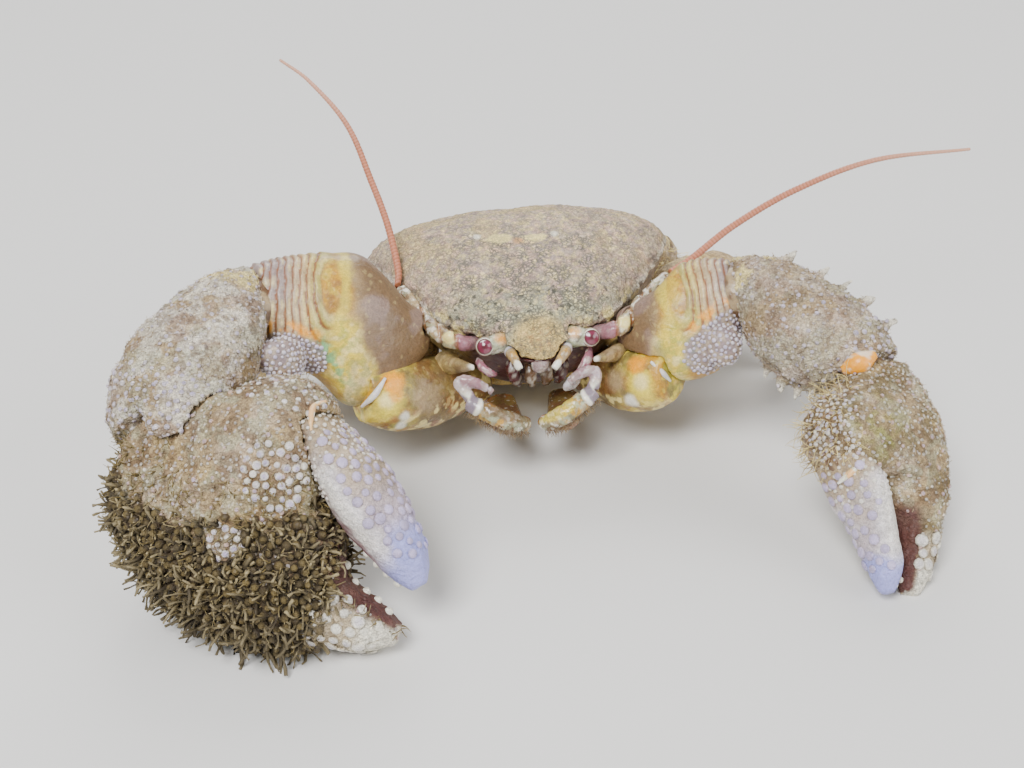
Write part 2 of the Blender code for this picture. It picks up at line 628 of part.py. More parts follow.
def claw_pieces(arm):
    """The palm, its fixed thumb and the moving finger."""
    along, upper, face = claw_frame(arm)
    size, scale = arm.claw, arm.claw_scale

    def place(distance, height):
        return arm.wrist + along * distance * scale + upper * height * scale

    wrist_normal = joint_normals([arm.elbow, arm.wrist, arm.finger_tip])[1]
    start = arm.wrist + wrist_normal * GAP / 2
    common = {"face": face, "hand": -arm.hand, "scale": scale}
    palm = Piece((start, place(size.palm_length, 0)), girths=size.palm_girths, start_normal=wrist_normal,
                 end_normal=along, power=2.4, **common)
    thumb = Piece(tuple(place(*spot) for spot in size.thumb), girths=size.thumb_girths, **common)
    finger = Piece(tuple(place(*spot) for spot in size.finger), girths=size.finger_girths, **common)
    return palm, thumb, finger


def grain(point, normal, radius, height, scratch):
    """A low rounded bump, sunk into the skin."""
    bm = bmesh.new()
    bmesh.ops.create_cone(
        bm, cap_ends=True, segments=5, radius1=radius, radius2=radius * 0.45, depth=height * 2)
    turn = Vector((0, 0, 1)).rotation_difference(normal).to_matrix()
    bmesh.ops.rotate(bm, matrix=turn, verts=bm.verts)
    bmesh.ops.translate(bm, vec=point, verts=bm.verts)
    return make_object("grain", bm, scratch)


def grains_on(piece, count, angles, spans, radius, chance, scratch):
    """Bumps spread over a patch of a piece, no two touching."""
    placed, made = [], []
    for _ in range(count * 12):
        t = chance.uniform(*spans)
        angle = math.radians(chance.uniform(*angles))
        point = piece.surface(t, angle)
        size = radius * chance.uniform(0.75, 1.2)
        if all((point - other).length > size * 2.5 for other in placed) and len(placed) < count:
            placed.append(point)
            made.append(grain(point, piece.outward(t, angle), size, size * 0.7, scratch))
    return made


def tuft(point, normal, lie, length, width, scratch):
    """A flat, tapering lock of bristles, rooted under the skin and bending over along its lie."""
    root = point - normal * 0.7
    middle = point + (normal * 0.34 + lie * 0.16) * length
    tip = point + (normal * 0.52 + lie * 0.62) * length
    lock = Piece((root, middle, tip), normal.cross(lie).normalized(), (
        Girth(0.0, 0.2, 0.2, width, width), Girth(0.5, 0.22, 0.22, width, width),
        Girth(1.0, 0.06, 0.06, 0.08, 0.08)), power=2.0)
    return make_object("tuft", loft(lock.rings(3, 4)), scratch)


def tufts_on(piece, count, angles, spans, lie, length, chance, scratch):
    """Locks spread evenly over a patch of a piece."""
    placed, made = [], []
    for _ in range(count * 20):
        t = chance.uniform(*spans)
        angle = math.radians(chance.uniform(*angles))
        point = piece.surface(t, angle)
        if len(placed) < count and all((point - other).length > 1.1 for other in placed):
            placed.append(point)
            normal = piece.outward(t, angle)
            flat = (lie - normal * lie.dot(normal)).normalized()
            swing = chance.uniform(-0.6, 0.6)
            flat = (flat + normal.cross(flat) * swing).normalized()
            made.append(tuft(point, normal, flat, length * chance.uniform(0.7, 1.15), 0.42, scratch))
    return made


def spine(point, direction, length, scratch):
    """A sharp cone leaning along its direction, sunk into the skin."""
    bm = bmesh.new()
    bmesh.ops.create_cone(bm, cap_ends=True, segments=5, radius1=0.34, radius2=0.07, depth=length)
    bmesh.ops.translate(bm, vec=(0, 0, length * 0.28), verts=bm.verts)
    turn = Vector((0, 0, 1)).rotation_difference(direction).to_matrix()
    bmesh.ops.rotate(bm, matrix=turn, verts=bm.verts)
    bmesh.ops.translate(bm, vec=point, verts=bm.verts)
    return make_object("spine", bm, scratch)


def spines_on(piece, spots, angle, length, scratch):
    """Spines in a row along a piece at one angle round it, leaning towards its far end."""
    made = []
    for t in spots:
        direction = (piece.outward(t, angle) + piece.frame(t)[1] * 0.45).normalized()
        made.append(spine(piece.surface(t, angle), direction, length, scratch))
    return made


def flap(path, breadth, cutters, chance):
    """A rounded lobe of shell with a grainy surface, to be joined to the piece that it stands on."""
    girths = tuple(Girth(g.at, g.upper * breadth, g.lower * breadth, g.face, g.back) for g in LOBE)
    piece = Piece(path, FRONT_ABOVE, girths)
    base = make_piece("flap", piece, cutters, None, 6, 10)
    combine(base, grains_on(piece, 5, (20, 160), (0.2, 0.9), 0.26, chance, cutters), "UNION")
    return base


def copied(thing, cutters):
    """A second object like the first, among the cutters."""
    copy = thing.copy()
    copy.data = thing.data.copy()
    for held in list(copy.users_collection):
        held.objects.unlink(copy)
    cutters.objects.link(copy)
    return copy


def make_arm(arm, beside, parts, cutters, shell, flesh):
    """One claw arm. The pieces beside it are cut out of its second segment with room to spare."""
    chance = random.Random(arm.seed)
    joints = [arm.root, arm.hip, arm.elbow, arm.wrist, arm.finger_tip]
    normals = joint_normals(joints)
    common = {"face": FRONT_ABOVE, "hand": arm.hand}
    ischium = Piece((arm.root, arm.hip), girths=ISCHIUM, scale=arm.girth_scale, **common)
    merus = Piece((arm.shoulder, arm.bend, arm.elbow - normals[2] * GAP / 2), girths=arm.merus,
                  end_normal=normals[2], **common)
    carpus = Piece(between(joints, normals, 2), girths=arm.carpus, scale=arm.girth_scale,
                   start_normal=normals[2], end_normal=normals[3], **common)
    palm_piece, thumb_piece, finger_piece = claw_pieces(arm)
    make_piece(f"claw_ischium_{arm.side}", ischium, parts, flesh, 5, 12)

    upper_arm = make_piece(f"claw_merus_{arm.side}", merus, parts, flesh, 9, 16)
    combine(upper_arm, [flap(arm.merus_lobe, 0.8, cutters, chance)], "UNION")
    body = make_object("room", loft(body_rings(body_places(), 26, GAP)), cutters)
    root = inflated(ischium, cutters, 5, 12)
    rooms = [body, copied(root, cutters), inflated(carpus, cutters, 7, 16)]
    rooms += [inflated(palm_piece, cutters, 7, 20)] + [copied(thing, cutters) for thing in beside]
    combine(upper_arm, rooms, "DIFFERENCE")

    wrist_plate = make_piece(f"claw_carpus_{arm.side}", carpus, parts, shell, 7, 16)
    extras = spines_on(carpus, arm.spines, 0.0, 1.1, cutters)
    extras += spines_on(carpus, arm.teeth, math.pi, 0.9, cutters)
    extras += grains_on(carpus, arm.grains // 2, (20, 150), (0.16, 0.92), 0.34, chance, cutters)
    if arm.carpus_lobe:
        extras.append(flap(arm.carpus_lobe, 1.7, cutters, chance))
    combine(wrist_plate, extras, "UNION")
    combine(wrist_plate, [inflated(palm_piece, cutters, 7, 20)], "DIFFERENCE")

    palm = make_piece(f"claw_palm_{arm.side}", palm_piece, parts, shell, 7, 20)
    combine(palm, [make_piece("thumb", thumb_piece, cutters, None, 8, 14)], "UNION")
    finger_room = inflated(finger_piece, cutters, 8, 14)
    down = Vector((0, 0, -1))
    lie = (palm_piece.frame(0.5)[1] * 0.8 + down * 0.6).normalized()
    extras = grains_on(palm_piece, arm.grains, (18, 105), (0.36, 0.92), 0.36, chance, cutters)
    long, short = arm.tuft_length, arm.tuft_length * 0.75
    extras += tufts_on(palm_piece, arm.tufts, (108, 215), (0.12, 0.95), lie, long, chance, cutters)
    extras += tufts_on(thumb_piece, arm.tufts // 3, (45, 185), (0.3, 0.6), lie, short, chance, cutters)
    combine(palm, extras, "UNION")
    combine(palm, [finger_room], "DIFFERENCE")
    trim(palm, (0, 0, FLOOR), (0, 0, -1))
    finger = make_piece(f"claw_finger_{arm.side}", finger_piece, parts, shell, 8, 14)
    extras = grains_on(finger_piece, arm.grains // 4, (10, 110), (0.08, 0.8), 0.34, chance, cutters)
    combine(finger, extras, "UNION")
    return root


def stand_on_origin(nodes, crab):
    """Moves the whole crab so that its lowest points are at z = 0, under the middle of its box."""
    bpy.context.view_layer.update()
    graph = bpy.context.evaluated_depsgraph_get()
    corners = []
    for node in nodes:
        mesh = node.evaluated_get(graph).to_mesh()
        corners += [node.matrix_world @ vert.co for vert in mesh.vertices]
    low = [min(point[i] for point in corners) for i in range(3)]
    high = [max(point[i] for point in corners) for i in range(3)]
    crab.location = (-(low[0] + high[0]) / 2, -(low[1] + high[1]) / 2, -low[2])


def main():
    clear_scene()
    parts = new_collection("thick_clawed_porcelain_crab")
    cutters = new_collection("cutters")
    cutters.hide_render = True
    shell = make_material("shell", (0.42, 0.36, 0.26), 0.6)
    flesh = make_material("smooth_shell", (0.60, 0.52, 0.24), 0.45)
    eye_black = make_material("eye", (0.16, 0.03, 0.06), 0.15)
    feeler_red = make_material("feeler", (0.55, 0.27, 0.18), 0.5)

    carapace, thorax = make_body(parts, shell, flesh)
    seats = make_legs(parts, cutters, shell)
    seats += make_brush_legs(parts, cutters, shell)
    seats += make_abdomen(parts, cutters, shell)
    for head, arm in ((RIGHT_HEAD, BIG_ARM), (LEFT_HEAD, SMALL_ARM)):
        feelers = make_feelers(head, parts, cutters, shell, feeler_red)
        seats += make_eye(head, feelers[-1], parts, cutters, flesh, eye_black)
        seats.append(make_jaw(head, parts, cutters, shell))
        seats.append(make_arm(arm, feelers, parts, cutters, shell, flesh))
        seats += feelers
        cheek = Piece(head.cheek, Vector((0, -1, 0)), CHEEK)
        combine(thorax, [make_piece("cheek", cheek, cutters, None, 4, 6)], "UNION")
    combine(carapace, [copied(seat, cutters) for seat in seats], "DIFFERENCE")
    combine(thorax, seats, "DIFFERENCE")

    for cutter in cutters.objects:
        cutter.hide_render = True
        cutter.display_type = "WIRE"

    crab = bpy.data.objects.new("crab", None)
    parts.objects.link(crab)
    nodes = [node for node in parts.objects if node is not crab]
    for node in nodes:
        node.parent = crab
    stand_on_origin(nodes, crab)


main()
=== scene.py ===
"""Looks of a thick-clawed porcelain crab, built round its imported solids.

Shapes are made in millimetres, measured from the point midway between the eyes: x to the crab's
left, y to its rear, z up. Maker puts each finished piece in the row frame, in metres.
"""

import logging
import math
from dataclasses import dataclass, replace
from enum import Enum

import bmesh
import bpy
import numpy as np
from mathutils import Matrix, Vector, noise
from mathutils.kdtree import KDTree


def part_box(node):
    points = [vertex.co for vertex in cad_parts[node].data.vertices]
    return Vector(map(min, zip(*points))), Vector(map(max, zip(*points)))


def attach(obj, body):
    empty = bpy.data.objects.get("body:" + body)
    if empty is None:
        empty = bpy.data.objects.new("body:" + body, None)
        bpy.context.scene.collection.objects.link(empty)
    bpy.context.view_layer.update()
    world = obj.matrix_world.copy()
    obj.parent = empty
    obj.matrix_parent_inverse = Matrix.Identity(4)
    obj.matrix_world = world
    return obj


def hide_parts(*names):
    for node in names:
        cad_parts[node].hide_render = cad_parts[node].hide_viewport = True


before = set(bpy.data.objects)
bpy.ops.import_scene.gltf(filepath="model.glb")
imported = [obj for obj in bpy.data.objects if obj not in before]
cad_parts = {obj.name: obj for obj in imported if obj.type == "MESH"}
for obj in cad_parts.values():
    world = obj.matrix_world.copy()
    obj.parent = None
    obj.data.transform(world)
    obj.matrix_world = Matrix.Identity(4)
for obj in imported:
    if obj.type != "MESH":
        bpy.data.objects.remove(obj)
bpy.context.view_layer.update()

LOG = logging.getLogger("crab")
MM = 0.001
JOINT_GAP = 0.13
EYE_HEIGHT = 7.0
FLOOR = -EYE_HEIGHT
PATCH = 0.003
RICHNESS = 1.3
LIMB_STEPS, LIMB_SIDES = 36, 48
BODY_STEPS, BODY_SIDES = 60, 96
SENSOR = 36.0
LASH_RING, LASH_SIDES = 0.21, 12
RING_SWELL = (-0.096, 0.0512, 0.0512)
Array = np.ndarray

BODY_SECTIONS = (
    (-1.35, 0.30, -0.35, -0.22, -0.55),
    (-1.10, 1.00, -0.20, 0.12, -0.75),
    (-0.50, 1.70, 0.10, 0.75, -1.10),
    (0.30, 2.10, 0.30, 1.20, -2.00),
    (0.75, 3.20, 0.35, 1.45, -2.80),
    (1.20, 4.10, 0.45, 1.75, -3.30),
    (2.60, 5.30, 0.65, 2.45, -4.20),
    (4.80, 6.70, 1.00, 3.15, -4.90),
    (7.20, 7.90, 1.10, 3.50, -5.00),
    (9.20, 8.20, 0.65, 3.10, -4.90),
    (11.20, 7.30, -0.10, 2.20, -4.50),
    (12.80, 5.90, -0.75, 1.00, -3.80),
    (13.80, 4.60, -1.05, 0.10, -2.90),
    (14.20, 4.00, -1.20, -0.50, -2.20),
)
SPLIT_POINT = (0.0, 6.5, -1.2)
SPLIT_UP = (0.0, 0.09, 1.0)
EYE_PLACE = np.array((2.70, -0.32, 0.02))
EYE_RADIUS = 0.50
STALK_ROOT = np.array((1.15, 0.35, -0.15))
FRONT_ABOVE = (-0.07, -0.85, 0.53)


def shade(red: int, green: int, blue: int) -> Array:
    """A colour of 0 to 255 a channel as a linear one."""
    value = np.array((red, green, blue)) / 255.0
    return np.where(value <= 0.04045, value / 12.92, ((value + 0.055) / 1.055) ** 2.4)


class Tint(Enum):
    """The crab's colours, named for where they show."""

    DUST = (192, 176, 156)
    PLUM = (156, 138, 138)
    SAGE = (170, 172, 148)
    BLUSH = (208, 180, 162)
    SAND = (206, 182, 130)
    CREAM = (240, 224, 166)
    IVORY = (240, 236, 222)
    AMBER = (244, 168, 84)
    OLIVE = (112, 98, 66)
    MOSS = (152, 158, 90)
    STRAW = (222, 204, 112)
    HONEY = (186, 146, 78)
    UMBER = (100, 78, 60)
    BARK = (166, 148, 120)
    RUST = (146, 98, 68)
    BRICK = (182, 126, 108)
    JADE = (132, 184, 142)
    LILAC = (188, 178, 204)
    MIST = (216, 210, 212)
    PERIWINKLE = (160, 162, 212)
    SLATE = (138, 128, 136)
    MAROON = (72, 36, 38)
    WINE = (112, 54, 70)
    ROSE = (146, 106, 116)
    SHADE = (84, 72, 76)
    MOTH = (92, 90, 80)
    # The next two are the turf's painted highlight tone and its painted shadow tone.
    TURF_LIT = (152, 140, 112)
    TURF_SHADOW = (48, 40, 28)
    INK = (34, 20, 24)

    @property
    def rgb(self) -> Array:
        """The colour as three linear numbers, richer than it looks, because soft light pales it."""
        look = shade(*self.value)
        return np.clip(look.mean() + (look - look.mean()) * RICHNESS, 0.003, 0.95)


def unit(rows: Array) -> Array:
    """Rows scaled to length one."""
    return rows / np.maximum(np.linalg.norm(rows, axis=-1, keepdims=True), 1e-12)


def ease(values: Array, low: float, high: float) -> Array:
    """Rises smoothly from 0 at low to 1 at high, or falls where low is the larger."""
    share = np.clip((values - low) / (high - low), 0.0, 1.0)
    return share * share * (3 - 2 * share)


def near(points: Array, spot: tuple, reach: float, core: float = 0.3) -> Array:
    """How near points are to a spot: 1 within core times the reach, 0 beyond the reach."""
    return ease(np.linalg.norm(points - np.array(spot), axis=1), reach, reach * core)


def near_line(points: Array, start: tuple, end: tuple, reach: float) -> Array:
    """How near points are to a straight line between two spots, as near() gives it."""
    first, way = np.array(start), np.array(end) - np.array(start)
    share = np.clip((points - first) @ way / (way @ way), 0, 1)
    return ease(np.linalg.norm(points - first - share[:, None] * way, axis=1), reach, reach * 0.3)


def cloud(points: Array, size: float, seed: int = 0, octaves: int = 3) -> Array:
    """Soft noise about zero, whose largest lumps are size millimetres."""
    shift = Vector((seed * 7.31, seed * 3.17, seed * 5.73))
    return np.array([noise.fractal(Vector(p) / size + shift, 1.0, 2.0, octaves) for p in points])


def blots(points: Array, size: float, seed: int, low: float, high: float) -> Array:
    """Where soft noise of lumps of size millimetres rises from low to high: blots of 1 among 0."""
    return ease(cloud(points, size, seed), low, high)


def hermite(knots: Array, rows: Array, t: Array) -> Array:
    """Smooth rows of numbers at each t through rows given at rising knots.

    Args:
        knots: where the rows are given.
        rows: one row of numbers a knot.
        t: the places asked for.

    Returns:
        One row of numbers for each t.
    """
    knots, rows, t = np.asarray(knots, float), np.asarray(rows, float), np.atleast_1d(t)
    last = len(knots) - 1
    i = np.clip(np.searchsorted(knots, t, side="right") - 1, 0, last - 1)
    span = (knots[i + 1] - knots[i])[:, None]
    u = np.clip((t[:, None] - knots[i][:, None]) / span, 0, 1)
    low, high = np.maximum(np.arange(last + 1) - 1, 0), np.minimum(np.arange(last + 1) + 1, last)
    slopes = (rows[high] - rows[low]) / (knots[high] - knots[low])[:, None]
    return ((2 * u**3 - 3 * u**2 + 1) * rows[i] + (u**3 - 2 * u**2 + u) * span * slopes[i]
            + (3 * u**2 - 2 * u**3) * rows[i + 1] + (u**3 - u**2) * span * slopes[i + 1])


def superellipse(angle: Array, power: float) -> tuple[Array, Array]:
    """The two sides of a rounded square's outline at each angle."""
    c, s = np.cos(angle), np.sin(angle)
    return np.sign(c) * np.abs(c) ** (2 / power), np.sign(s) * np.abs(s) ** (2 / power)


@dataclass
class Clay:
    """A mesh in the making: points, faces, a colour a point, and a map place a point where it has a map.

    The colour's fourth number says how clean the point is of the shell's fine mottling. The marks say
    how strong the finish's dark net, its dark specks and its pale flecks are there.
    """

    points: Array
    faces: list
    paint: Array | None = None
    chart: Array | None = None
    marks: Array | None = None

    def __post_init__(self) -> None:
        """Gives bare points a plain colour and full marks."""
        if self.paint is None:
            self.paint = np.ones((len(self.points), 4)) * 0.5
        if self.marks is None:
            self.marks = np.ones((len(self.points), 3))

    @classmethod
    def empty(cls, mapped: bool = False) -> "Clay":
        """Clay with nothing in it yet, with room for a map if asked."""
        return cls(np.zeros((0, 3)), [], chart=np.zeros((0, 2)) if mapped else None)

    def normals(self) -> Array:
        """The direction square to the surface at each point."""
        total = np.zeros_like(self.points)
        for block in self.faces:
            corner = [self.points[block[:, k]] for k in range(block.shape[1])]
            square = (np.cross(corner[2] - corner[0], corner[3] - corner[1]) if len(corner) == 4
                      else np.cross(corner[1] - corner[0], corner[2] - corner[0]))
            for k in range(block.shape[1]):
                for axis in range(3):
                    total[:, axis] += np.bincount(block[:, k], square[:, axis], len(total))
        return unit(total)

    def soften(self, rounds: int, share: float = 0.5) -> None:
        """Moves each point towards the middle of its neighbours, a few times."""
        ends = np.concatenate([
            np.stack([block, np.roll(block, -1, axis=1)], -1).reshape(-1, 2) for block in self.faces])
        ends = np.concatenate([ends, ends[:, ::-1]])
        count = np.maximum(np.bincount(ends[:, 0], minlength=len(self.points)), 1)[:, None]
        for _ in range(rounds):
            near_sum = np.stack([
                np.bincount(ends[:, 0], self.points[ends[:, 1], axis], len(self.points)) for axis in range(3)], -1)
            self.points = self.points * (1 - share) + near_sum / count * share

    def push(self, heights: Array) -> None:
        """Raises each point along the surface's own direction by its height."""
        self.points = self.points + self.normals() * heights[:, None]

    def colour(self, tint: Tint, share: Array | float = 1.0, clean: float | None = None) -> None:
        """Mixes a colour into the paint by a share for each point."""
        share = np.broadcast_to(np.clip(share, 0, 1), len(self.points))[:, None]
        self.paint[:, :3] = self.paint[:, :3] * (1 - share) + tint.rgb * share
        if clean is not None:
            self.paint[:, 3] = self.paint[:, 3] * (1 - share[:, 0]) + clean * share[:, 0]

    def copy(self) -> "Clay":
        """The same shape and paint, to grow things from."""
        return Clay(self.points.copy(), list(self.faces), self.paint.copy(), marks=self.marks.copy())

    def join(self, others: list) -> None:
        """Adds other meshes to this one as further closed surfaces."""
        for other in others:
            start = len(self.points)
            self.points = np.concatenate([self.points, other.points])
            self.paint = np.concatenate([self.paint, other.paint])
            self.marks = np.concatenate([self.marks, other.marks])
            self.faces = self.faces + [block + start for block in other.faces]
            if self.chart is not None and other.chart is not None:
                self.chart = np.concatenate([self.chart, other.chart])


def tube(rings: Array) -> Clay:
    """A closed surface through rings of points, with a fan of faces at each end.

    Args:
        rings: places by ring, by side and by axis.

    Returns:
        The closed surface.
    """
    steps, sides = rings.shape[:2]
    points = np.concatenate([rings.reshape(-1, 3), rings[0].mean(0)[None], rings[-1].mean(0)[None]])
    i, k = np.meshgrid(np.arange(steps - 1), np.arange(sides), indexing="ij")
    near_side, far_side = i * sides + k, i * sides + (k + 1) % sides
    walls = np.stack([near_side, far_side, far_side + sides, near_side + sides], -1).reshape(-1, 4)
    k = np.arange(sides)
    start, end, last = steps * sides, steps * sides + 1, (steps - 1) * sides
    caps = np.concatenate([
        np.stack([np.full(sides, start), (k + 1) % sides, k], -1),
        np.stack([np.full(sides, end), last + k, last + (k + 1) % sides], -1)])
    return Clay(points, [walls, caps])


@dataclass
class Girth:
    """Half sizes of one cross-section, at a share of the limb's length."""

    at: float
    upper: float
    lower: float
    face: float
    back: float


def even(at: float, height: float, thickness: float) -> Girth:
    """A cross-section with the same half size on both sides of its middle."""
    return Girth(at, height, height, thickness, thickness)


@dataclass
class Limb:
    """A limb piece: cross-sections carried along a path, from one joint's plane to the next."""

    path: tuple
    face: tuple
    girths: tuple
    hand: int = 1
    start_normal: Array | None = None
    end_normal: Array | None = None
    power: float = 2.2
    scale: float = 1.0

    def __post_init__(self) -> None:
        """Works out where the path's points lie along its length."""
        self.spots = np.array([np.asarray(p, float) for p in self.path])
        steps = np.linalg.norm(np.diff(self.spots, axis=0), axis=1)
        self.length = steps.sum()
        self.knots = np.concatenate([[0], np.cumsum(steps)]) / self.length
        self.at = np.array([g.at for g in self.girths])
        self.rows = np.array([(g.upper, g.lower, g.face, g.back) for g in self.girths])

    def centre(self, t: Array) -> Array:
        """The path's points at shares t of its length."""
        t = np.clip(np.atleast_1d(t), 0, 1)
        if len(self.spots) == 2:
            return self.spots[0] + (self.spots[1] - self.spots[0]) * t[:, None]
        return hermite(self.knots, self.spots, t)

    def frame(self, t: Array) -> tuple[Array, Array, Array, Array]:
        """The middle of each section, and its along, upper and face directions."""
        t = np.atleast_1d(np.asarray(t, float))
        along = unit(self.centre(t + 0.01) - self.centre(t - 0.01))
        if self.start_normal is not None:
            share = (np.maximum(0, 1 - 2 * t) ** 2)[:, None]
            along = unit(along * (1 - share) + self.start_normal * share)
        if self.end_normal is not None:
            share = (np.maximum(0, 2 * t - 1) ** 2)[:, None]
            along = unit(along * (1 - share) + self.end_normal * share)
        upper = self.hand * unit(np.cross(np.asarray(self.face, float), along))
        face = self.hand * unit(np.cross(along, upper))
        return self.centre(t), along, upper, face

    def skin(self, t: Array, angle: Array, grow: float = 0.0) -> Array:
        """The points of the skin at shares t and angles from upper towards face."""
        middle, _, upper, face = self.frame(t)
        high, low, front, back = (self.scale * hermite(self.at, self.rows, t) + grow).T
        c, s = superellipse(angle, self.power)
        rise = c * np.where(c > 0, high, low)
        out = s * np.where(s > 0, front, back)
        return middle + upper * rise[:, None] + face * out[:, None]

    def rings(self, steps: int, sides: int, grow: float = 0.0, stretch: float = 0.0) -> Array:
        """The cross-sections as rings of points, grown and stretched past the ends if asked."""
        t, angle = np.meshgrid(np.linspace(0, 1, steps + 1), np.linspace(0, 2 * math.pi, sides, endpoint=False),
                               indexing="ij")
        made = self.skin(t.ravel(), angle.ravel(), grow).reshape(steps + 1, sides, 3)
        ways = self.frame(np.array([0.0, 1.0]))[1]
        made[0] -= ways[0] * stretch
        made[-1] += ways[1] * stretch
        return made

    def solid(self, grow: float = 0.0, stretch: float = 0.0) -> Clay:
        """The limb as a closed surface."""
        return tube(self.rings(LIMB_STEPS, LIMB_SIDES, grow, stretch))

    def local(self, points: Array) -> tuple[Array, Array, Array]:
        """Where points lie: their share of the limb's straight length, and how far up and out in millimetres."""
        first, last = self.spots[0], self.spots[-1]
        length = np.linalg.norm(last - first)
        along = (last - first) / length
        upper = self.hand * unit(np.cross(np.asarray(self.face, float), along))
        face = self.hand * np.cross(along, upper)
        away = points - first
        return away @ along / length, away @ upper, away @ face

    def chart(self, points: Array) -> Array:
        """A map place for points: the way round the limb and along it."""
        share, up, out = self.local(points)
        return np.stack([np.arctan2(out, up) / (2 * math.pi) + 0.5, np.clip(share, 0, 1)], -1)


def body_rings(places: Array, grow: float = 0.0) -> Array:
    """Cross-sections of the whole body from the tip of its front to its rear."""
    table = np.array(BODY_SECTIONS)
    half, margin, crest, under = hermite(table[:, 0], table[:, 1:], places).T
    half, crest, under = half + grow, crest + grow, under - grow
    angle = np.linspace(0, 2 * math.pi, BODY_SIDES, endpoint=False)
    rings = []
    for y, h, m, c, u in zip(places, half, margin, crest, under):
        x_top, z_top = superellipse(angle, 2.05)
        x_low, z_low = superellipse(angle, 1.9)
        top = np.sin(angle) > 0
        rings.append(np.stack([np.where(top, x_top, x_low) * h, np.full(BODY_SIDES, y),
                               m + np.where(top, z_top * (c - m), z_low * (m - u))], -1))
    return np.array(rings)


def body_solid(grow: float = 0.0) -> Clay:
    """The whole body as a closed surface."""
    table = np.array(BODY_SECTIONS)
    places = np.unique(np.concatenate([table[:, 0], np.linspace(table[0, 0], table[-1, 0], BODY_STEPS)]))
    return tube(body_rings(places, grow))


class Workshop:
    """Blender's own tools for shaping clay: cutting, fusing and trimming."""

    @staticmethod
    def thing(clay: Clay) -> bpy.types.Object:
        """A loose object from clay, in millimetres."""
        mesh = bpy.data.meshes.new("work")
        mesh.from_pydata(clay.points.tolist(), [], [f for block in clay.faces for f in block.tolist()])
        made = bpy.data.objects.new("work", mesh)
        bpy.context.scene.collection.objects.link(made)
        return made

    @staticmethod
    def evaluated(thing: bpy.types.Object) -> bpy.types.Mesh:
        """The object's mesh with its modifiers done."""
        bpy.context.view_layer.update()
        graph = bpy.context.evaluated_depsgraph_get()
        return bpy.data.meshes.new_from_object(thing.evaluated_get(graph))

    @staticmethod
    def clear(things: list) -> None:
        """Removes loose objects and their meshes."""
        for thing in things:
            mesh = thing.data
            bpy.data.objects.remove(thing)
            bpy.data.meshes.remove(mesh)

    @classmethod
    def moulded(cls, shells: list, rooms: list, voxel: float, rounds: int) -> Clay:
        """Fuses closed surfaces into one, with rooms cut out of them, as an even mesh of small squares.

        Args:
            shells: the closed surfaces to fuse.
            rooms: the closed surfaces to cut away.
            voxel: the size of the squares in millimetres.
            rounds: how many times the result is softened.

        Returns:
            One closed surface.
        """
        group = bpy.data.collections.new("rooms")
        bpy.context.scene.collection.children.link(group)
        cutters = [cls.thing(room) for room in rooms]
        for cutter in cutters:
            bpy.context.scene.collection.objects.unlink(cutter)
            group.objects.link(cutter)
        merged = bmesh.new()
        for shell in shells:
            work = cls.thing(shell)
            if cutters:
                cut = work.modifiers.new("cut", "BOOLEAN")
                cut.operation, cut.operand_type = "DIFFERENCE", "COLLECTION"
                cut.collection, cut.solver = group, "MANIFOLD"
            mesh = cls.evaluated(work)
            merged.from_mesh(cls.largest(mesh))
            cls.clear([work])
        cls.clear(cutters)
        bpy.data.collections.remove(group)
        mesh = bpy.data.meshes.new("merged")
        merged.to_mesh(mesh)
        merged.free()
        work = bpy.data.objects.new("merged", mesh)
        bpy.context.scene.collection.objects.link(work)
        fuse = work.modifiers.new("fuse", "REMESH")
        fuse.mode, fuse.voxel_size, fuse.adaptivity = "VOXEL", voxel, 0.0
        clay = cls.read(cls.evaluated(work))
        cls.clear([work])
        clay.soften(rounds)
        return clay

    @staticmethod
    def largest(mesh: bpy.types.Mesh) -> bpy.types.Mesh:
        """The mesh without its smaller loose surfaces."""
        shape = bmesh.new()
        shape.from_mesh(mesh)
        left, groups = set(shape.verts), []
        while left:
            group, edge = set(), [left.pop()]
            while edge:
                vert = edge.pop()
                group.add(vert)
                reached = {e.other_vert(vert) for e in vert.link_edges} & left
                left -= reached
                edge.extend(reached)
            groups.append(group)
        groups.sort(key=lambda g: float(np.prod(np.ptp([v.co for v in g], axis=0))))
        bmesh.ops.delete(shape, geom=[v for g in groups[:-1] for v in g], context="VERTS")
        shape.to_mesh(mesh)
        shape.free()
        return mesh

    @staticmethod
    def read(mesh: bpy.types.Mesh) -> Clay:
        """Clay from a mesh of squares."""
        points = np.empty(len(mesh.vertices) * 3)
        mesh.vertices.foreach_get("co", points)
        corners = np.empty(len(mesh.loops), int)
        mesh.loops.foreach_get("vertex_index", corners)
        bpy.data.meshes.remove(mesh)
        return Clay(points.reshape(-1, 3), [corners.reshape(-1, 4)])

    @classmethod
    def halved(cls, clay: Clay, point: tuple, normal: tuple) -> Clay:
        """Clay without what lies beyond a plane, closed with a flat face."""
        work = cls.thing(clay)
        shape = bmesh.new()
        shape.from_mesh(work.data)
        cls.clear([work])
        cut = bmesh.ops.bisect_plane(shape, geom=shape.verts[:] + shape.edges[:] + shape.faces[:],
                                     plane_co=Vector(point), plane_no=Vector(normal), clear_outer=True)
        bmesh.ops.holes_fill(shape, edges=[e for e in cut["geom_cut"] if isinstance(e, bmesh.types.BMEdge)], sides=0)
        bmesh.ops.recalc_face_normals(shape, faces=shape.faces)
        bmesh.ops.triangulate(shape, faces=shape.faces)
        points = np.array([v.co for v in shape.verts])
        shape.verts.index_update()
        faces = np.array([[v.index for v in f.verts] for f in shape.faces])
        shape.free()
        return Clay(points, [faces])


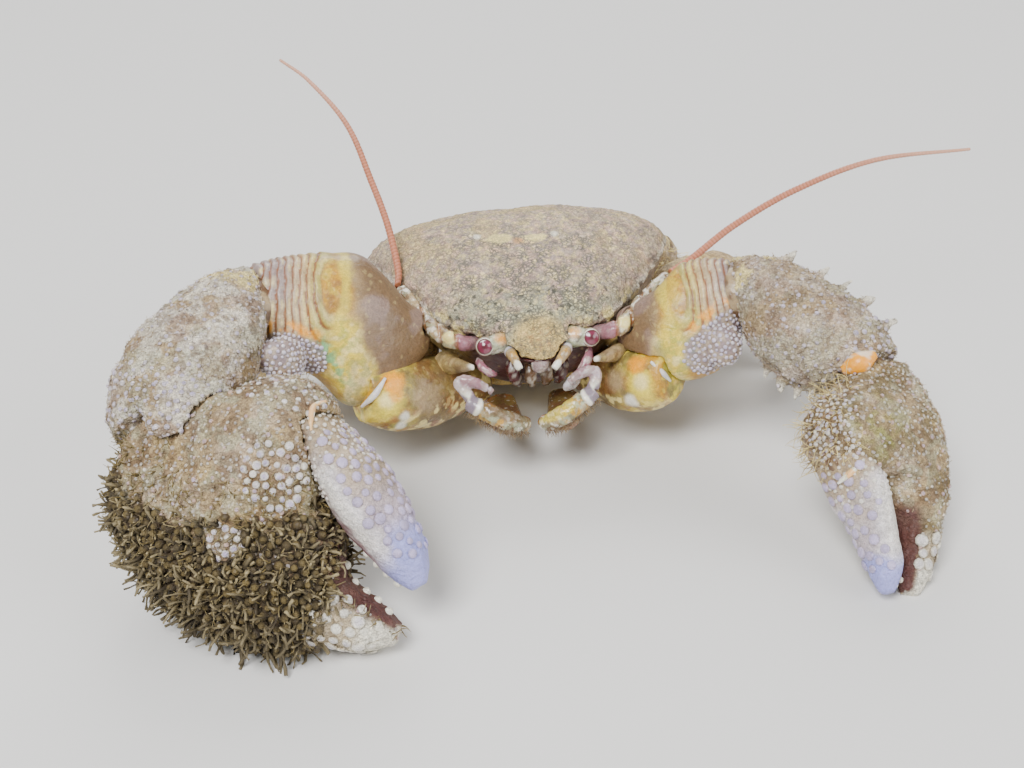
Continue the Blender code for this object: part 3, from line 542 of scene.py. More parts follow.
@dataclass(frozen=True)
class Grains:
    """Rounded bumps of shell that stand close together on a patch of skin.

    Sizes are in millimetres. The pale tint rings each bump and the crown tint tops it; show says how
    strongly both stand out from the skin.
    """

    spacing: float
    radius: float
    height: float
    crown: Tint = Tint.LILAC
    pale: Tint = Tint.MIST
    sides: int = 7
    show: float = 1.0

    def chosen(self, clay: Clay, where: Array, chance: np.random.Generator) -> Array:
        """Points of the clay at least a spacing apart, picked by how likely each is."""
        found = np.flatnonzero(where > chance.random(len(where)))
        chance.shuffle(found)
        tree = KDTree(len(found))
        for i, index in enumerate(found):
            tree.insert(clay.points[index], i)
        tree.balance()
        gone, kept = np.zeros(len(found), bool), []
        for i, index in enumerate(found):
            if not gone[i]:
                kept.append(index)
                for _, other, _ in tree.find_range(clay.points[index], self.spacing):
                    gone[other] = True
        return np.array(kept, int)

    def domes(self, clay: Clay, where: Array, seed: int) -> Clay:
        """The bumps as closed domes sunk into the clay, with its colour round their feet.

        Args:
            clay: the skin that they stand on.
            where: how likely a bump is at each of its points.
            seed: starts the random choice.

        Returns:
            The domes as one mesh.
        """
        chance = np.random.default_rng(seed)
        index = self.chosen(clay, where, chance)
        if len(index) == 0:
            return Clay.empty()
        spots, up = clay.points[index], clay.normals()[index]
        side = unit(np.cross(up, unit(chance.normal(size=up.shape))))
        across = np.cross(up, side)
        polar = np.array((1.75, 1.32, 0.85, 0.40) if self.sides > 7 else (1.75, 1.15, 0.55))
        turn = np.linspace(0, 2 * math.pi, self.sides, endpoint=False)
        ring = np.stack([np.outer(np.sin(polar), np.cos(turn)), np.outer(np.sin(polar), np.sin(turn)),
                         np.repeat(np.cos(polar)[:, None], self.sides, 1)], -1).reshape(-1, 3)
        form = np.concatenate([ring, [[0, 0, 1.0]], [[0, 0, -0.2]]])
        size = self.radius * chance.uniform(0.7, 1.15, len(index))[:, None, None]
        tall = (self.height * chance.uniform(0.75, 1.2, len(index)))[:, None, None]
        points = (spots[:, None] + side[:, None] * form[None, :, :1] * size
                  + across[:, None] * form[None, :, 1:2] * size + up[:, None] * form[None, :, 2:] * tall)
        points[..., 2] = np.maximum(points[..., 2], FLOOR)
        base, pole = len(polar) * self.sides, len(form)
        k = np.arange(self.sides)
        walls = np.concatenate([
            np.stack([j * self.sides + k, j * self.sides + (k + 1) % self.sides,
                      (j + 1) * self.sides + (k + 1) % self.sides, (j + 1) * self.sides + k], -1)
            for j in range(len(polar) - 1)])
        caps = np.concatenate([
            np.stack([base - self.sides + k, base - self.sides + (k + 1) % self.sides, np.full(self.sides, base)], -1),
            np.stack([(k + 1) % self.sides, k, np.full(self.sides, base + 1)], -1)])
        shift = (np.arange(len(index)) * pole)[:, None, None]
        made = Clay(points.reshape(-1, 3), [(walls[None] + shift).reshape(-1, 4), (caps[None] + shift).reshape(-1, 3)])
        rim = ease(form[:, 2], 0.0, 0.5)[None, :, None] * self.show
        crown = ease(form[:, 2], 0.5, 0.92)[None, :, None] * chance.random((len(index), 1, 1)) ** 0.5 * self.show
        colour = clay.paint[index][:, None, :3] * (1 - rim) + self.pale.rgb * rim
        colour = (colour * (1 - crown) + self.crown.rgb * crown) * chance.uniform(0.8, 1.1, (len(index), 1, 1))
        made.paint = np.concatenate([colour, rim * np.ones((len(index), 1, 1))], -1).reshape(-1, 4)
        return made


@dataclass(frozen=True)
class Strands:
    """Fine solid strands, each rooted in the skin: bristles, fringes and clumped turf.

    Spacing, length, thickness and spread are in millimetres. Stand says how upright they grow, curl how
    much each one bends, cluster how many share a root, steps how many pieces each has and tip how thick
    it ends. Tousle turns whole clusters, and ragged varies the thickness along a strand.
    """

    spacing: float
    length: float
    thickness: float
    stand: float = 0.5
    curl: float = 0.3
    cluster: int = 1
    spread: float = 0.15
    steps: int = 5
    tip: float = 0.3
    low: Tint = Tint.TURF_SHADOW
    high: Tint = Tint.TURF_LIT
    tousle: float = 0.1
    ragged: float = 0.25

    def grown(self, clay: Clay, where: Array, lie: tuple, limb: Limb, seed: int) -> Clay:
        """The strands as closed, tapering tubes with a small map patch each.

        Args:
            clay: the skin that they grow from.
            where: how likely a root is at each of its points.
            lie: the direction in which they lean.
            limb: gives the map place of each root.
            seed: starts the random choice.

        Returns:
            The strands as one mesh.
        """
        chance = np.random.default_rng(seed)
        roots = Grains(self.spacing, 0, 0).chosen(clay, where, chance)
        index = np.repeat(roots, self.cluster)
        total = len(index)
        if not total:
            return Clay.empty()
        up = clay.normals()[index]
        spots = clay.points[index] + unit(chance.normal(size=up.shape)) * self.spread * chance.random((total, 1))
        chart = limb.chart(clay.points[index])
        flat = np.asarray(lie, float) - up * (up @ np.asarray(lie, float))[:, None]
        own = np.repeat(chance.normal(size=(len(roots), 3)), self.cluster, axis=0) * self.tousle
        way = unit(up * self.stand + flat * (1 - self.stand) + own + chance.normal(size=up.shape) * 0.3)
        step = self.length * chance.uniform(0.55, 1.15, (total, 1)) / self.steps
        bend = chance.normal(size=(total, 3)) * self.curl
        place = spots - up * self.thickness
        side = unit(np.cross(way, unit(chance.normal(size=up.shape))))
        rings = []
        for i in range(self.steps + 1):
            share = i / self.steps
            wide = self.thickness * (1 - (1 - self.tip) * share) * chance.uniform(
                1 - self.ragged, 1 + self.ragged, (total, 1))
            side = unit(side - way * np.sum(side * way, -1, keepdims=True))
            across = np.cross(way, side)
            rings.append(np.stack([place + side * wide, place + across * wide * 0.7, place - side * wide,
                                   place - across * wide * 0.7], 1))
            bend = bend + chance.normal(size=(total, 3)) * self.curl * 0.6
            way = unit(way + bend / self.steps * 2 + flat * 0.12)
            place = place + way * step
        points = np.stack(rings, 1).reshape(total, -1, 3)
        points[..., 2] = np.maximum(points[..., 2], FLOOR + 0.02)
        per = 4 * (self.steps + 1)
        k = np.arange(4)
        walls = np.concatenate([
            np.stack([j * 4 + k, j * 4 + (k + 1) % 4, (j + 1) * 4 + (k + 1) % 4, (j + 1) * 4 + k], -1)
            for j in range(self.steps)] + [[[3, 2, 1, 0]], [per - 4 + k]])
        shift = (np.arange(total) * per)[:, None, None]
        made = Clay(points.reshape(-1, 3), [(walls[None] + shift).reshape(-1, 4)])
        # Each strand runs from its low tint at the root to its high tint at the tip; on the turf these are painted
        # shadow at the roots and painted highlight at the tips.
        rise = np.repeat(np.linspace(0, 1, self.steps + 1), 4)
        tone = (chance.uniform(0, 0.5, (total, 1)) + np.repeat(chance.uniform(0, 0.5, len(roots)), self.cluster)[
            :, None])[..., None]
        blend = np.clip(rise[None, :, None] * 0.7 + (tone - 0.5) * 1.1, 0, 1)
        colour = self.low.rgb * (1 - blend) + self.high.rgb * blend
        made.paint = np.concatenate([colour, np.ones_like(blend) * 0.4], -1).reshape(-1, 4)
        local = np.stack([np.tile(np.arange(4) / 3, self.steps + 1), rise], -1)
        made.chart = (chart[:, None] + (local[None] - 0.5) * PATCH).reshape(-1, 2)
        return made


# Spacing, radius and height come first, then the crown's and the rim's tints, the sides and the show.
LEG_GRAINS = Grains(0.34, 0.13, 0.09, Tint.MIST, Tint.CREAM, 6)
LOBE_GRAINS = Grains(0.22, 0.12, 0.10, Tint.LILAC, Tint.MIST, 6)
FINE_GRAINS = Grains(0.26, 0.085, 0.06, Tint.DUST, Tint.MIST, 6, 0.45)
PLATE_GRAINS = Grains(0.46, 0.12, 0.09, Tint.LILAC, Tint.MIST, 7, 0.8)
EDGE_GRAINS = Grains(0.40, 0.15, 0.12, Tint.LILAC, Tint.MIST, 7, 0.9)
HAND_GRAINS = Grains(0.30, 0.095, 0.08, Tint.MIST, Tint.IVORY, 6, 0.5)
SPARSE_GRAINS = Grains(0.85, 0.13, 0.11, Tint.LILAC, Tint.BLUSH, 8, 0.8)
# The turf clods are coloured dark as painted shade in the hollows between the turf strands.
TURF_CLODS = Grains(0.34, 0.24, 0.36, Tint.OLIVE, Tint.TURF_SHADOW, 7, 0.9)
THUMB_COBBLES = Grains(0.54, 0.31, 0.13, Tint.MIST, Tint.IVORY, 9)
FINGER_KNOBS = Grains(0.52, 0.26, 0.12, Tint.LILAC, Tint.LILAC, 9, 0.85)
FINGER_GRAINS = Grains(0.30, 0.12, 0.09, Tint.MIST, Tint.IVORY, 6, 0.7)
# Spacing, length, thickness, stand, curl, cluster, spread, steps and tip come first, then the tints.
JAW_FRINGE = Strands(0.13, 0.42, 0.018, 0.8, 0.2, 3, 0.05, 4, 0.4, Tint.UMBER, Tint.BARK)
LEG_BRISTLES = Strands(0.34, 0.75, 0.030, 0.65, 0.2, 2, 0.05, 3, 0.35, Tint.BARK, Tint.CREAM)
BRUSH = Strands(0.12, 0.7, 0.02, 0.7, 0.2, 2, 0.05, 4, 0.4, Tint.BARK, Tint.CREAM)
FUZZ = Strands(0.34, 0.20, 0.018, 0.6, 0.9, 3, 0.10, 3, 0.5, Tint.BARK, Tint.DUST, 0.4)
TURF = Strands(0.50, 1.35, 0.090, 0.45, 2.6, 8, 0.20, 5, 0.7, Tint.TURF_SHADOW, Tint.TURF_LIT, 0.9, 0.5)
THIN_TURF = Strands(0.42, 0.75, 0.040, 0.45, 2.6, 4, 0.22, 4, 0.5, Tint.OLIVE, Tint.TURF_LIT, 0.5, 0.4)
CLAW_HAIRS = Strands(0.42, 1.0, 0.03, 0.8, 0.5, 3, 0.12, 5, 0.3, Tint.BARK, Tint.CREAM, 0.3)


class Graph:
    """Wires up one material's nodes. Its place socket gives millimetres in the row frame."""

    def __init__(self, name: str) -> None:
        """Starts a material with its shader and its coordinates."""
        self.material = bpy.data.materials.new(name)
        self.material.use_nodes = True
        self.tree = self.material.node_tree
        self.shader = self.tree.nodes["Principled BSDF"]
        where = self.add("ShaderNodeTexCoord").outputs["Object"]
        self.place = self.add("ShaderNodeMapping", {"Vector": where, "Scale": (1 / MM,) * 3}).outputs[0]
        self.paint = self.add("ShaderNodeAttribute", attribute_name="paint")
        marks = self.add("ShaderNodeAttribute", attribute_name="marks").outputs["Color"]
        self.marks = self.add("ShaderNodeSeparateColor", {"Color": marks}).outputs

    def add(self, kind: str, inputs: dict | None = None, **settings: object) -> bpy.types.Node:
        """Makes a node, sets it, and links or fills its sockets."""
        node = self.tree.nodes.new(kind)
        for name, value in settings.items():
            setattr(node, name, value)
        for name, value in (inputs or {}).items():
            self.give(node.inputs[name], value)
        return node

    def give(self, socket: bpy.types.NodeSocket, value: object) -> None:
        """Links a socket to another, or sets its value."""
        if isinstance(value, bpy.types.NodeSocket):
            self.tree.links.new(value, socket)
        else:
            socket.default_value = value

    def noise(self, scale: float, detail: float = 3.0) -> bpy.types.NodeSocket:
        """Soft noise of 0 to 1, with so many lumps a millimetre."""
        return self.add("ShaderNodeTexNoise", {"Vector": self.place, "Scale": scale, "Detail": detail}).outputs[0]

    def cells(self, scale: float, feature: str, place: object) -> bpy.types.Node:
        """A pattern of cells, with so many a millimetre."""
        return self.add("ShaderNodeTexVoronoi", {"Vector": place, "Scale": scale}, feature=feature)

    def span(self, value: object, low: float, high: float, to_low: float = 0.0, to_high: float = 1.0) -> object:
        """Eases a value's range on to another range."""
        return self.add("ShaderNodeMapRange", {
            "Value": value, "From Min": low, "From Max": high, "To Min": to_low, "To Max": to_high},
            interpolation_type="SMOOTHSTEP").outputs[0]

    def sum(self, kind: str, first: object, second: object) -> bpy.types.NodeSocket:
        """Arithmetic on two values."""
        node = self.add("ShaderNodeMath", operation=kind)
        self.give(node.inputs[0], first)
        self.give(node.inputs[1], second)
        return node.outputs[0]

    def mix(self, share: object, first: object, second: object, kind: str = "MIX") -> bpy.types.NodeSocket:
        """Mixes two colours."""
        return self.add("ShaderNodeMixRGB", {"Fac": share, "Color1": first, "Color2": second},
                        blend_type=kind).outputs[0]


@dataclass(frozen=True)
class Finish:
    """A kind of surface: the mesh's own paint, fine marks over it, and how it shines."""

    name: str
    roughness: float = 0.5
    coat: float = 0.1
    flesh: float = 0.0
    mottle: float = 0.5
    net: float = 0.0
    net_cells: float = 3.6
    net_width: float = 0.2
    specks: float = 0.0
    speck_cells: float = 2.0
    flecks: float = 0.0
    fleck_cells: float = 2.6
    grit: float = 0.03
    grit_cells: float = 5.0
    dark: Tint = Tint.UMBER
    light: Tint = Tint.IVORY

    def material(self) -> bpy.types.Material:
        """Builds the finish as a material."""
        g = Graph(self.name)
        mottled = g.sum("SUBTRACT", 1.0, g.paint.outputs["Alpha"])
        wander = g.add("ShaderNodeTexNoise", {"Vector": g.place, "Scale": 2.6, "Detail": 3.0}).outputs[1]
        bent = g.mix(0.22, g.place, wander, "LINEAR_LIGHT")
        colour, rough_skin = g.paint.outputs["Color"], None
        for cells, depth in ((1.1, 0.5), (6.0, 0.75), (15.0, 1.0)):
            swing = self.mottle * depth
            level = g.span(g.noise(cells, 4.0), 0.28, 0.72, 1 - 0.42 * swing, 1 + 0.34 * swing)
            colour = g.mix(g.span(mottled, 0.0, 0.6, 0.35, 1.0), colour, g.mix(1.0, colour, level, "MULTIPLY"))
            rough_skin = level
        stretched = g.add("ShaderNodeMapping", {"Vector": bent, "Scale": (0.8, 1.25, 1.25)}).outputs[0]
        seams = g.cells(self.net_cells, "DISTANCE_TO_EDGE", stretched).outputs["Distance"]
        lines = g.span(seams, self.net_width, self.net_width * 0.3)
        if self.net:
            patchy = g.span(g.noise(1.3, 3.0), 0.36, 0.58, 0.15, 1.0)
            share = g.sum("MULTIPLY", g.sum("MULTIPLY", lines, patchy), g.sum("MULTIPLY", g.marks[0], self.net))
            colour = g.mix(g.sum("MULTIPLY", share, mottled), colour, (*self.dark.rgb, 1.0))
        for amount, cells, channel, rare, reach, tone in (
                (self.specks, self.speck_cells, 0, 0.45, 0.40, self.dark.rgb * 0.6),
                (self.flecks, self.fleck_cells, 1, 0.50, 0.36, self.light.rgb)):
            if amount:
                dots = g.cells(cells, "F1", bent)
                pick = g.add("ShaderNodeSeparateColor", {"Color": dots.outputs["Color"]}).outputs[channel]
                some = g.span(pick, rare, rare + 0.1)
                share = g.sum("MULTIPLY", g.span(dots.outputs["Distance"], reach, 0.2), some)
                share = g.sum("MULTIPLY", g.sum("MULTIPLY", share, amount), g.marks[channel + 1])
                colour = g.mix(g.sum("MULTIPLY", share, mottled), colour, (*tone, 1.0))
        g.give(g.shader.inputs["Base Color"], colour)
        rough = g.span(g.noise(2.4, 4.0), 0.3, 0.7, self.roughness * 0.85, min(1.0, self.roughness * 1.15))
        g.give(g.shader.inputs["Roughness"], rough)
        g.shader.inputs["Coat Weight"].default_value = self.coat
        g.shader.inputs["Coat Roughness"].default_value = 0.25
        if self.flesh:
            g.shader.inputs["Subsurface Weight"].default_value = self.flesh
            g.shader.inputs["Subsurface Radius"].default_value = (1.0, 0.6, 0.4)
            g.shader.inputs["Subsurface Scale"].default_value = 0.5 * MM
        pits = g.cells(self.grit_cells, "F1", bent).outputs["Distance"]
        height = g.sum("SUBTRACT", g.sum("MULTIPLY", rough_skin, 0.6), pits)
        if self.net:
            height = g.sum("SUBTRACT", height, g.sum("MULTIPLY", lines, 0.6))
        bump = g.add("ShaderNodeBump", {"Height": height, "Distance": self.grit * MM, "Strength": 1.0})
        g.give(g.shader.inputs["Normal"], bump.outputs[0])
        return g.material


BACK = Finish("mottled_back", 0.60, 0.06, mottle=0.85, net=0.85, net_cells=4.6, net_width=0.20, specks=0.9,
              speck_cells=2.9, flecks=0.35, fleck_cells=3.6, grit=0.05, dark=Tint.MOTH, light=Tint.CREAM)
GRAINY = Finish("grainy_claw", 0.70, 0.04, mottle=0.9, net=0.3, net_cells=3.0, specks=0.5, speck_cells=2.2,
                flecks=0.45, fleck_cells=3.4, grit=0.06, grit_cells=4.0, light=Tint.MIST)
SMOOTH = Finish("smooth_arm", 0.40, 0.22, 0.10, mottle=0.45, net=0.12, net_cells=1.8, specks=0.3, speck_cells=0.9,
                flecks=0.3, fleck_cells=2.6, grit=0.014, grit_cells=5.0, dark=Tint.BARK, light=Tint.CREAM)
FINGER = Finish("pale_finger", 0.55, 0.12, 0.06, mottle=0.6, net=0.15, net_cells=2.4, specks=0.2, speck_cells=1.8,
                flecks=0.2, fleck_cells=2.8, grit=0.03, dark=Tint.SLATE)
LEGGY = Finish("banded_leg", 0.60, 0.10, mottle=0.7, net=0.5, net_cells=3.2, specks=0.6, speck_cells=1.8,
               flecks=0.35, fleck_cells=2.4, grit=0.04, light=Tint.CREAM)
SOFT = Finish("soft_joint", 0.38, 0.35, 0.3, mottle=0.3, grit=0.02)
GLASSY = Finish("clear_flesh", 0.24, 0.55, 0.35, mottle=0.5, specks=0.35, speck_cells=3.4, flecks=0.35,
                fleck_cells=3.4, grit=0.012)
EYE = Finish("eye", 0.07, 1.0, mottle=0.1, grit=0.0)
FEELER = Finish("ringed_feeler", 0.5, 0.1, 0.1, mottle=0.3, grit=0.01, grit_cells=8.0)
BRISTLE = Finish("bristle", 0.75, 0.02, mottle=0.5, grit=0.01, grit_cells=8.0)


def eyes_middle() -> Array:
    """The point midway between the eyes in the row frame, in millimetres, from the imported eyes' boxes."""
    left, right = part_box("eye_left"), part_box("eye_right")
    return np.array((
        (left[1].x + right[0].x) / 2 / MM,
        left[0].y / MM - EYE_PLACE[1] + EYE_RADIUS,
        left[1].z / MM - EYE_PLACE[2] - EYE_RADIUS))


class Maker:
    """Turns clay into finished pieces of the model."""

    def __init__(self) -> None:
        """Finds the place of the eyes and starts with no materials."""
        self.origin = eyes_middle()
        self.materials: dict = {}
        self.faces = 0

    def place(self, clay: Clay, name: str, finish: Finish, slot: str, *nodes: str) -> None:
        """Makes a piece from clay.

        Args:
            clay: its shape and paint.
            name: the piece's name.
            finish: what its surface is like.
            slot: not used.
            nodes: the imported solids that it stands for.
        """
        if finish.name not in self.materials:
            self.materials[finish.name] = finish.material()
        mesh = bpy.data.meshes.new(name)
        points = (clay.points + self.origin) * MM
        mesh.from_pydata(points.tolist(), [], [f for block in clay.faces for f in block.tolist()])
        full = np.concatenate([clay.marks, np.ones((len(clay.points), 1))], 1)
        for layer_name, values in (("paint", clay.paint), ("marks", full)):
            layer = mesh.attributes.new(layer_name, "FLOAT_COLOR", "POINT")
            layer.data.foreach_set("color", values.astype(np.float32).ravel())
        if clay.chart is not None:
            corners = np.empty(len(mesh.loops), int)
            mesh.loops.foreach_get("vertex_index", corners)
            chart = mesh.uv_layers.new(name="OFBake")
            chart.data.foreach_set("uv", clay.chart[corners].astype(np.float32).ravel())
        mesh.materials.append(self.materials[finish.name])
        mesh.shade_smooth()
        piece = bpy.data.objects.new(name, mesh)
        bpy.context.scene.collection.objects.link(piece)
        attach(piece, "root")
        if nodes:
            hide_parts(*nodes)
        count = sum(len(block) * (block.shape[1] - 2) for block in clay.faces)
        self.faces += count
        LOG.info("%s: %d triangles", name, count)

    def cover(self, clay: Clay, node: str, finish: Finish, slot: str) -> None:
        """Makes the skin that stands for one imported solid."""
        self.place(clay, f"{node}_skin", finish, slot, node)


def ball(centre: Array, radius: float, way: tuple = (0, 0, 1), rows: int = 28) -> Clay:
    """A round closed surface whose poles lie along a direction."""
    polar = np.linspace(0.04, math.pi - 0.04, rows)
    axis = unit(np.array(way, float))
    side = unit(np.cross(axis, (0.31, 0.82, 0.47)))
    across = np.cross(axis, side)
    turn = np.linspace(0, 2 * math.pi, rows * 10 // 7, endpoint=False)
    rings = (np.asarray(centre) + radius * (
        np.cos(polar)[:, None, None] * axis + np.sin(polar)[:, None, None]
        * (np.cos(turn)[None, :, None] * side + np.sin(turn)[None, :, None] * across)))
    return tube(rings)


PEDUNCLE = (even(0.0, 0.40, 0.36), even(0.3, 0.46, 0.42), even(0.6, 0.42, 0.38), even(1.0, 0.34, 0.32))
WHIP = (even(0.0, 0.20, 0.20), even(0.6, 0.16, 0.16), even(1.0, 0.08, 0.08))
ANTENNULE = (even(0.0, 0.34, 0.30), even(0.5, 0.32, 0.30), even(1.0, 0.18, 0.18))
STALK = (even(0.0, 0.50, 0.50), even(0.4, 0.56, 0.52), even(1.0, 0.44, 0.44))
JAW_BASE = (even(0.0, 0.8, 0.5), even(0.5, 0.9, 0.5), even(1.0, 0.52, 0.42))
JAW_ARM = (even(0.0, 0.50, 0.42), even(0.4, 0.50, 0.48), even(0.8, 0.48, 0.46), even(1.0, 0.38, 0.38))
PALP = (even(0.0, 0.30, 0.28), even(0.5, 0.30, 0.28), even(1.0, 0.18, 0.18))
CHEEK = (even(0.0, 0.7, 0.7), even(0.6, 0.45, 0.35), even(1.0, 0.16, 0.14))


@dataclass
class HeadSide:
    """One side of the head: eye, feelers, cheek and outer jaw, with their paths."""

    side: str
    hand: int
    antenna_base: tuple
    antenna: tuple
    antennule: tuple
    jaw_base: tuple
    jaw_arm: tuple
    palp: tuple
    cheek: tuple

    def __post_init__(self) -> None:
        """Lays out the limbs of this side."""
        self.base = Limb(self.antenna_base, (0, 0, 1), PEDUNCLE)
        end, along = (row[0] for row in self.base.frame(1.0)[:2])
        self.whip = Limb((end + along * 0.3, *self.antenna), (0, -0.5, 0.87), WHIP, start_normal=along, power=2.0)
        self.short = Limb(self.antennule, (1, 0, 0), ANTENNULE)
        side = np.array((self.hand, 1, 1))
        self.eye = EYE_PLACE * side
        root = STALK_ROOT * side
        self.gaze = unit(self.eye - root)
        self.stalk = Limb((root, self.eye - self.gaze * 0.1), (0, -1, 0), STALK)
        self.jaw = Limb(self.jaw_base, (0, 0, 1), JAW_BASE, end_normal=unit(np.array((0, -1, 0.35))))
        tip, onward = (row[0] for row in self.jaw.frame(1.0)[:2])
        self.jaw_limb = Limb((tip + onward * 0.3, *self.jaw_arm), (0, -1, 0), JAW_ARM, start_normal=onward)

    def rooms(self) -> list:
        """What is cut out of the body round this side's eye and feelers."""
        return [self.base.solid(0.12, 0.12), self.short.solid(0.1, 0.1), self.stalk.solid(0.08, 0.08),
                ball(self.eye, EYE_RADIUS + 0.14)]

    def build(self, maker: Maker) -> None:
        """Makes the eye, its stalk, the feelers and the jaw."""
        self.build_eye(maker)
        self.build_feelers(maker)
        self.build_jaw(maker)

    def build_eye(self, maker: Maker) -> None:
        """A wine-red eye in a clear rim, on a short mottled stalk with an amber spot."""
        look = unit(np.array((0.12 * self.hand, -0.88, 0.46)))
        eye = ball(self.eye, EYE_RADIUS, tuple(look))
        facing = unit(eye.points - self.eye) @ look
        eye.push(0.03 * ease(facing, 0.68, 0.9) - 0.03 * ease(np.abs(facing - 0.66), 0.08, 0.0))
        eye.colour(Tint.DUST, 1.0, 1.0)
        eye.colour(Tint.SHADE, 0.8 * ease(np.abs(facing - 0.40), 0.10, 0.03))
        eye.colour(Tint.IVORY, 0.9 * ease(np.abs(facing - 0.54), 0.10, 0.04))
        eye.colour(Tint.MAROON, ease(facing, 0.62, 0.68))
        eye.colour(Tint.WINE, ease(facing, 0.70, 0.80))
        eye.colour(Tint.MAROON, 0.8 * ease(facing, 0.90, 0.99))
        maker.place(eye, f"eye_{self.side}_ball", EYE, "eye", f"eye_{self.side}")
        stalk = Workshop.moulded([self.stalk.solid()], [ball(self.eye, EYE_RADIUS + 0.02)], 0.05, 4)
        p = stalk.points
        stalk.push(0.04 * cloud(p, 0.5, 9))
        stalk.colour(Tint.SAGE, 1.0, 0.5)
        stalk.colour(Tint.SHADE, 0.6 * blots(p, 0.5, 10, 0.0, 0.3))
        stalk.colour(Tint.IVORY, 0.5 * blots(p, 0.6, 11, 0.05, 0.3))
        stalk.colour(Tint.AMBER, 0.6 * near(p, tuple(self.eye + np.array((-0.80 * self.hand, 0.1, 0.35))), 0.5), 0.8)
        maker.cover(stalk, f"eyestalk_{self.side}", GLASSY, "smooth_shell")

    def build_feelers(self, maker: Maker) -> None:
        """The jointed base along the margin, the long ringed lash and the short antennule."""
        bead = ball(np.array((4.45 * self.hand, 0.12, 0.50)), 0.30)
        base = Workshop.moulded([self.base.solid(), bead], [], 0.06, 2)
        p = base.points
        share, out = self.base.local(p)[0], np.abs(p[:, 0])
        joints = sum(ease(np.abs(out - at), 0.16, 0.0) for at in (4.12, 4.95, 5.7))
        base.push(0.05 * cloud(p, 0.45, 4) - 0.10 * joints)
        base.colour(Tint.BARK, 1.0, 0.1)
        base.colour(Tint.UMBER, 0.8 * blots(p, 0.6, 5, -0.1, 0.2))
        base.colour(Tint.SAGE, 0.6 * blots(p, 0.5, 117, 0.05, 0.25))
        base.colour(Tint.IVORY, 0.7 * blots(p, 0.5, 6, 0.16, 0.32), 0.6)
        base.colour(Tint.ROSE, 0.95 * ease(out, 4.25, 4.0), 0.7)
        base.colour(Tint.PLUM, 0.6 * ease(out, 3.5, 3.2), 0.7)
        base.colour(Tint.CREAM, near(p, (4.50 * self.hand, 0.0, 0.55), 0.48, 0.55), 1.0)
        base.colour(Tint.RUST, 0.7 * joints)
        maker.cover(base, f"antenna_base_{self.side}", GLASSY, "shell")
        t = np.linspace(0, 1, round(self.whip.length / LASH_RING) * 3 + 1)
        t_all, angle = np.meshgrid(t, np.linspace(0, 2 * math.pi, LASH_SIDES, endpoint=False), indexing="ij")
        swell = np.array(RING_SWELL)[np.arange(len(t)) % 3]
        points = self.whip.skin(t_all.ravel(), angle.ravel()).reshape(len(t), LASH_SIDES, 3)
        middle = self.whip.centre(t)[:, None]
        points = middle + (points - middle) * (1 + swell[:, None, None])
        lash = tube(points)
        dark = np.concatenate([np.repeat(np.arange(len(t)) % 3 == 0, LASH_SIDES), [False, False]])
        lash.colour(Tint.BRICK, 1.0, 1.0)
        lash.colour(Tint.RUST, 0.8 * dark)
        along = np.concatenate([np.repeat(t, LASH_SIDES), [0, 1]])
        lash.colour(Tint.BLUSH, 0.55 * ease(along, 0.45, 1.0))
        maker.place(lash, f"antenna_{self.side}_lash", FEELER, "feeler", f"antenna_{self.side}")
        short = Workshop.moulded([self.short.solid()], [], 0.05, 3)
        share = self.short.local(short.points)[0]
        short.push(-0.07 * sum(ease(np.abs(share - at), 0.05, 0.0) for at in (0.50, 0.86)))
        short.colour(Tint.MIST, 1.0, 0.6)
        short.colour(Tint.BARK, ease(share, 0.48, 0.54), 0.2)
        short.colour(Tint.HONEY, 0.6 * ease(share, 0.50, 0.56) * blots(short.points, 0.3, 39, -0.1, 0.2))
        short.colour(Tint.UMBER, 0.5 * ease(np.abs(share - 0.50), 0.06, 0.0))
        short.colour(Tint.IVORY, ease(share, 0.86, 0.93), 1.0)
        maker.cover(short, f"antennule_{self.side}", GLASSY, "shell")

    def build_jaw(self, maker: Maker) -> None:
        """The outer jaw: its flat base, and the stout arm with its palp."""
        base = Workshop.moulded([self.jaw.solid()], [], 0.07, 3)
        base.colour(Tint.UMBER, 1.0, 0.3)
        base.colour(Tint.RUST, 0.6 * blots(base.points, 0.8, 5, -0.05, 0.25))
        base.colour(Tint.OLIVE, 0.7 * blots(base.points, 0.9, 6, 0.0, 0.25))
        maker.cover(base, f"jaw_base_{self.side}", GLASSY, "shell")
        palp = Limb(self.palp, (0, -1, 0), PALP)
        arm = Workshop.moulded([self.jaw_limb.solid(), palp.solid()], [], 0.05, 3)
        p = arm.points
        share, up, _ = self.jaw_limb.local(p)
        on_palp = np.max([near_line(p, *ends, 0.8) for ends in zip(self.palp[1:], self.palp[2:])], axis=0)
        rim = ease(np.abs(share - 0.83), 0.06, 0.02)
        arm.push(0.05 * cloud(p, 0.4, 12) - 0.08 * ease(np.abs(share - 0.78), 0.03, 0.0))
        arm.colour(Tint.SAGE, 1.0, 0.2)
        arm.colour(Tint.OLIVE, 0.7 * blots(p, 0.5, 118, -0.1, 0.2))
        arm.colour(Tint.BARK, 0.8 * blots(p, 0.6, 7, -0.05, 0.2))
        arm.colour(Tint.HONEY, 0.7 * blots(p, 0.4, 8, 0.02, 0.2) * ease(share, 0.1, 0.4))
        # Painted highlights: small white glints towards the arm's inner end.
        arm.colour(Tint.IVORY, 0.8 * blots(p, 0.3, 13, 0.22, 0.34) * ease(share, 0.55, 0.2), 0.8)
        arm.colour(Tint.STRAW, 0.6 * ease(up, 0.25, 0.42) * ease(share, 0.7, 0.5), 0.5)
        arm.colour(Tint.UMBER, 0.7 * ease(up, -0.25, -0.45))
        arm.colour(Tint.SLATE, ease(share, 0.80, 0.86), 1.0)
        arm.colour(Tint.IVORY, np.clip(rim + ease(share, 0.985, 1.03) * ease(np.abs(up), 0.15, 0.35), 0, 1), 1.0)
        arm.colour(Tint.PLUM, on_palp * 0.9, 1.0)
        arm.colour(Tint.ROSE, 0.6 * blots(p, 0.7, 119, -0.1, 0.2) * on_palp)
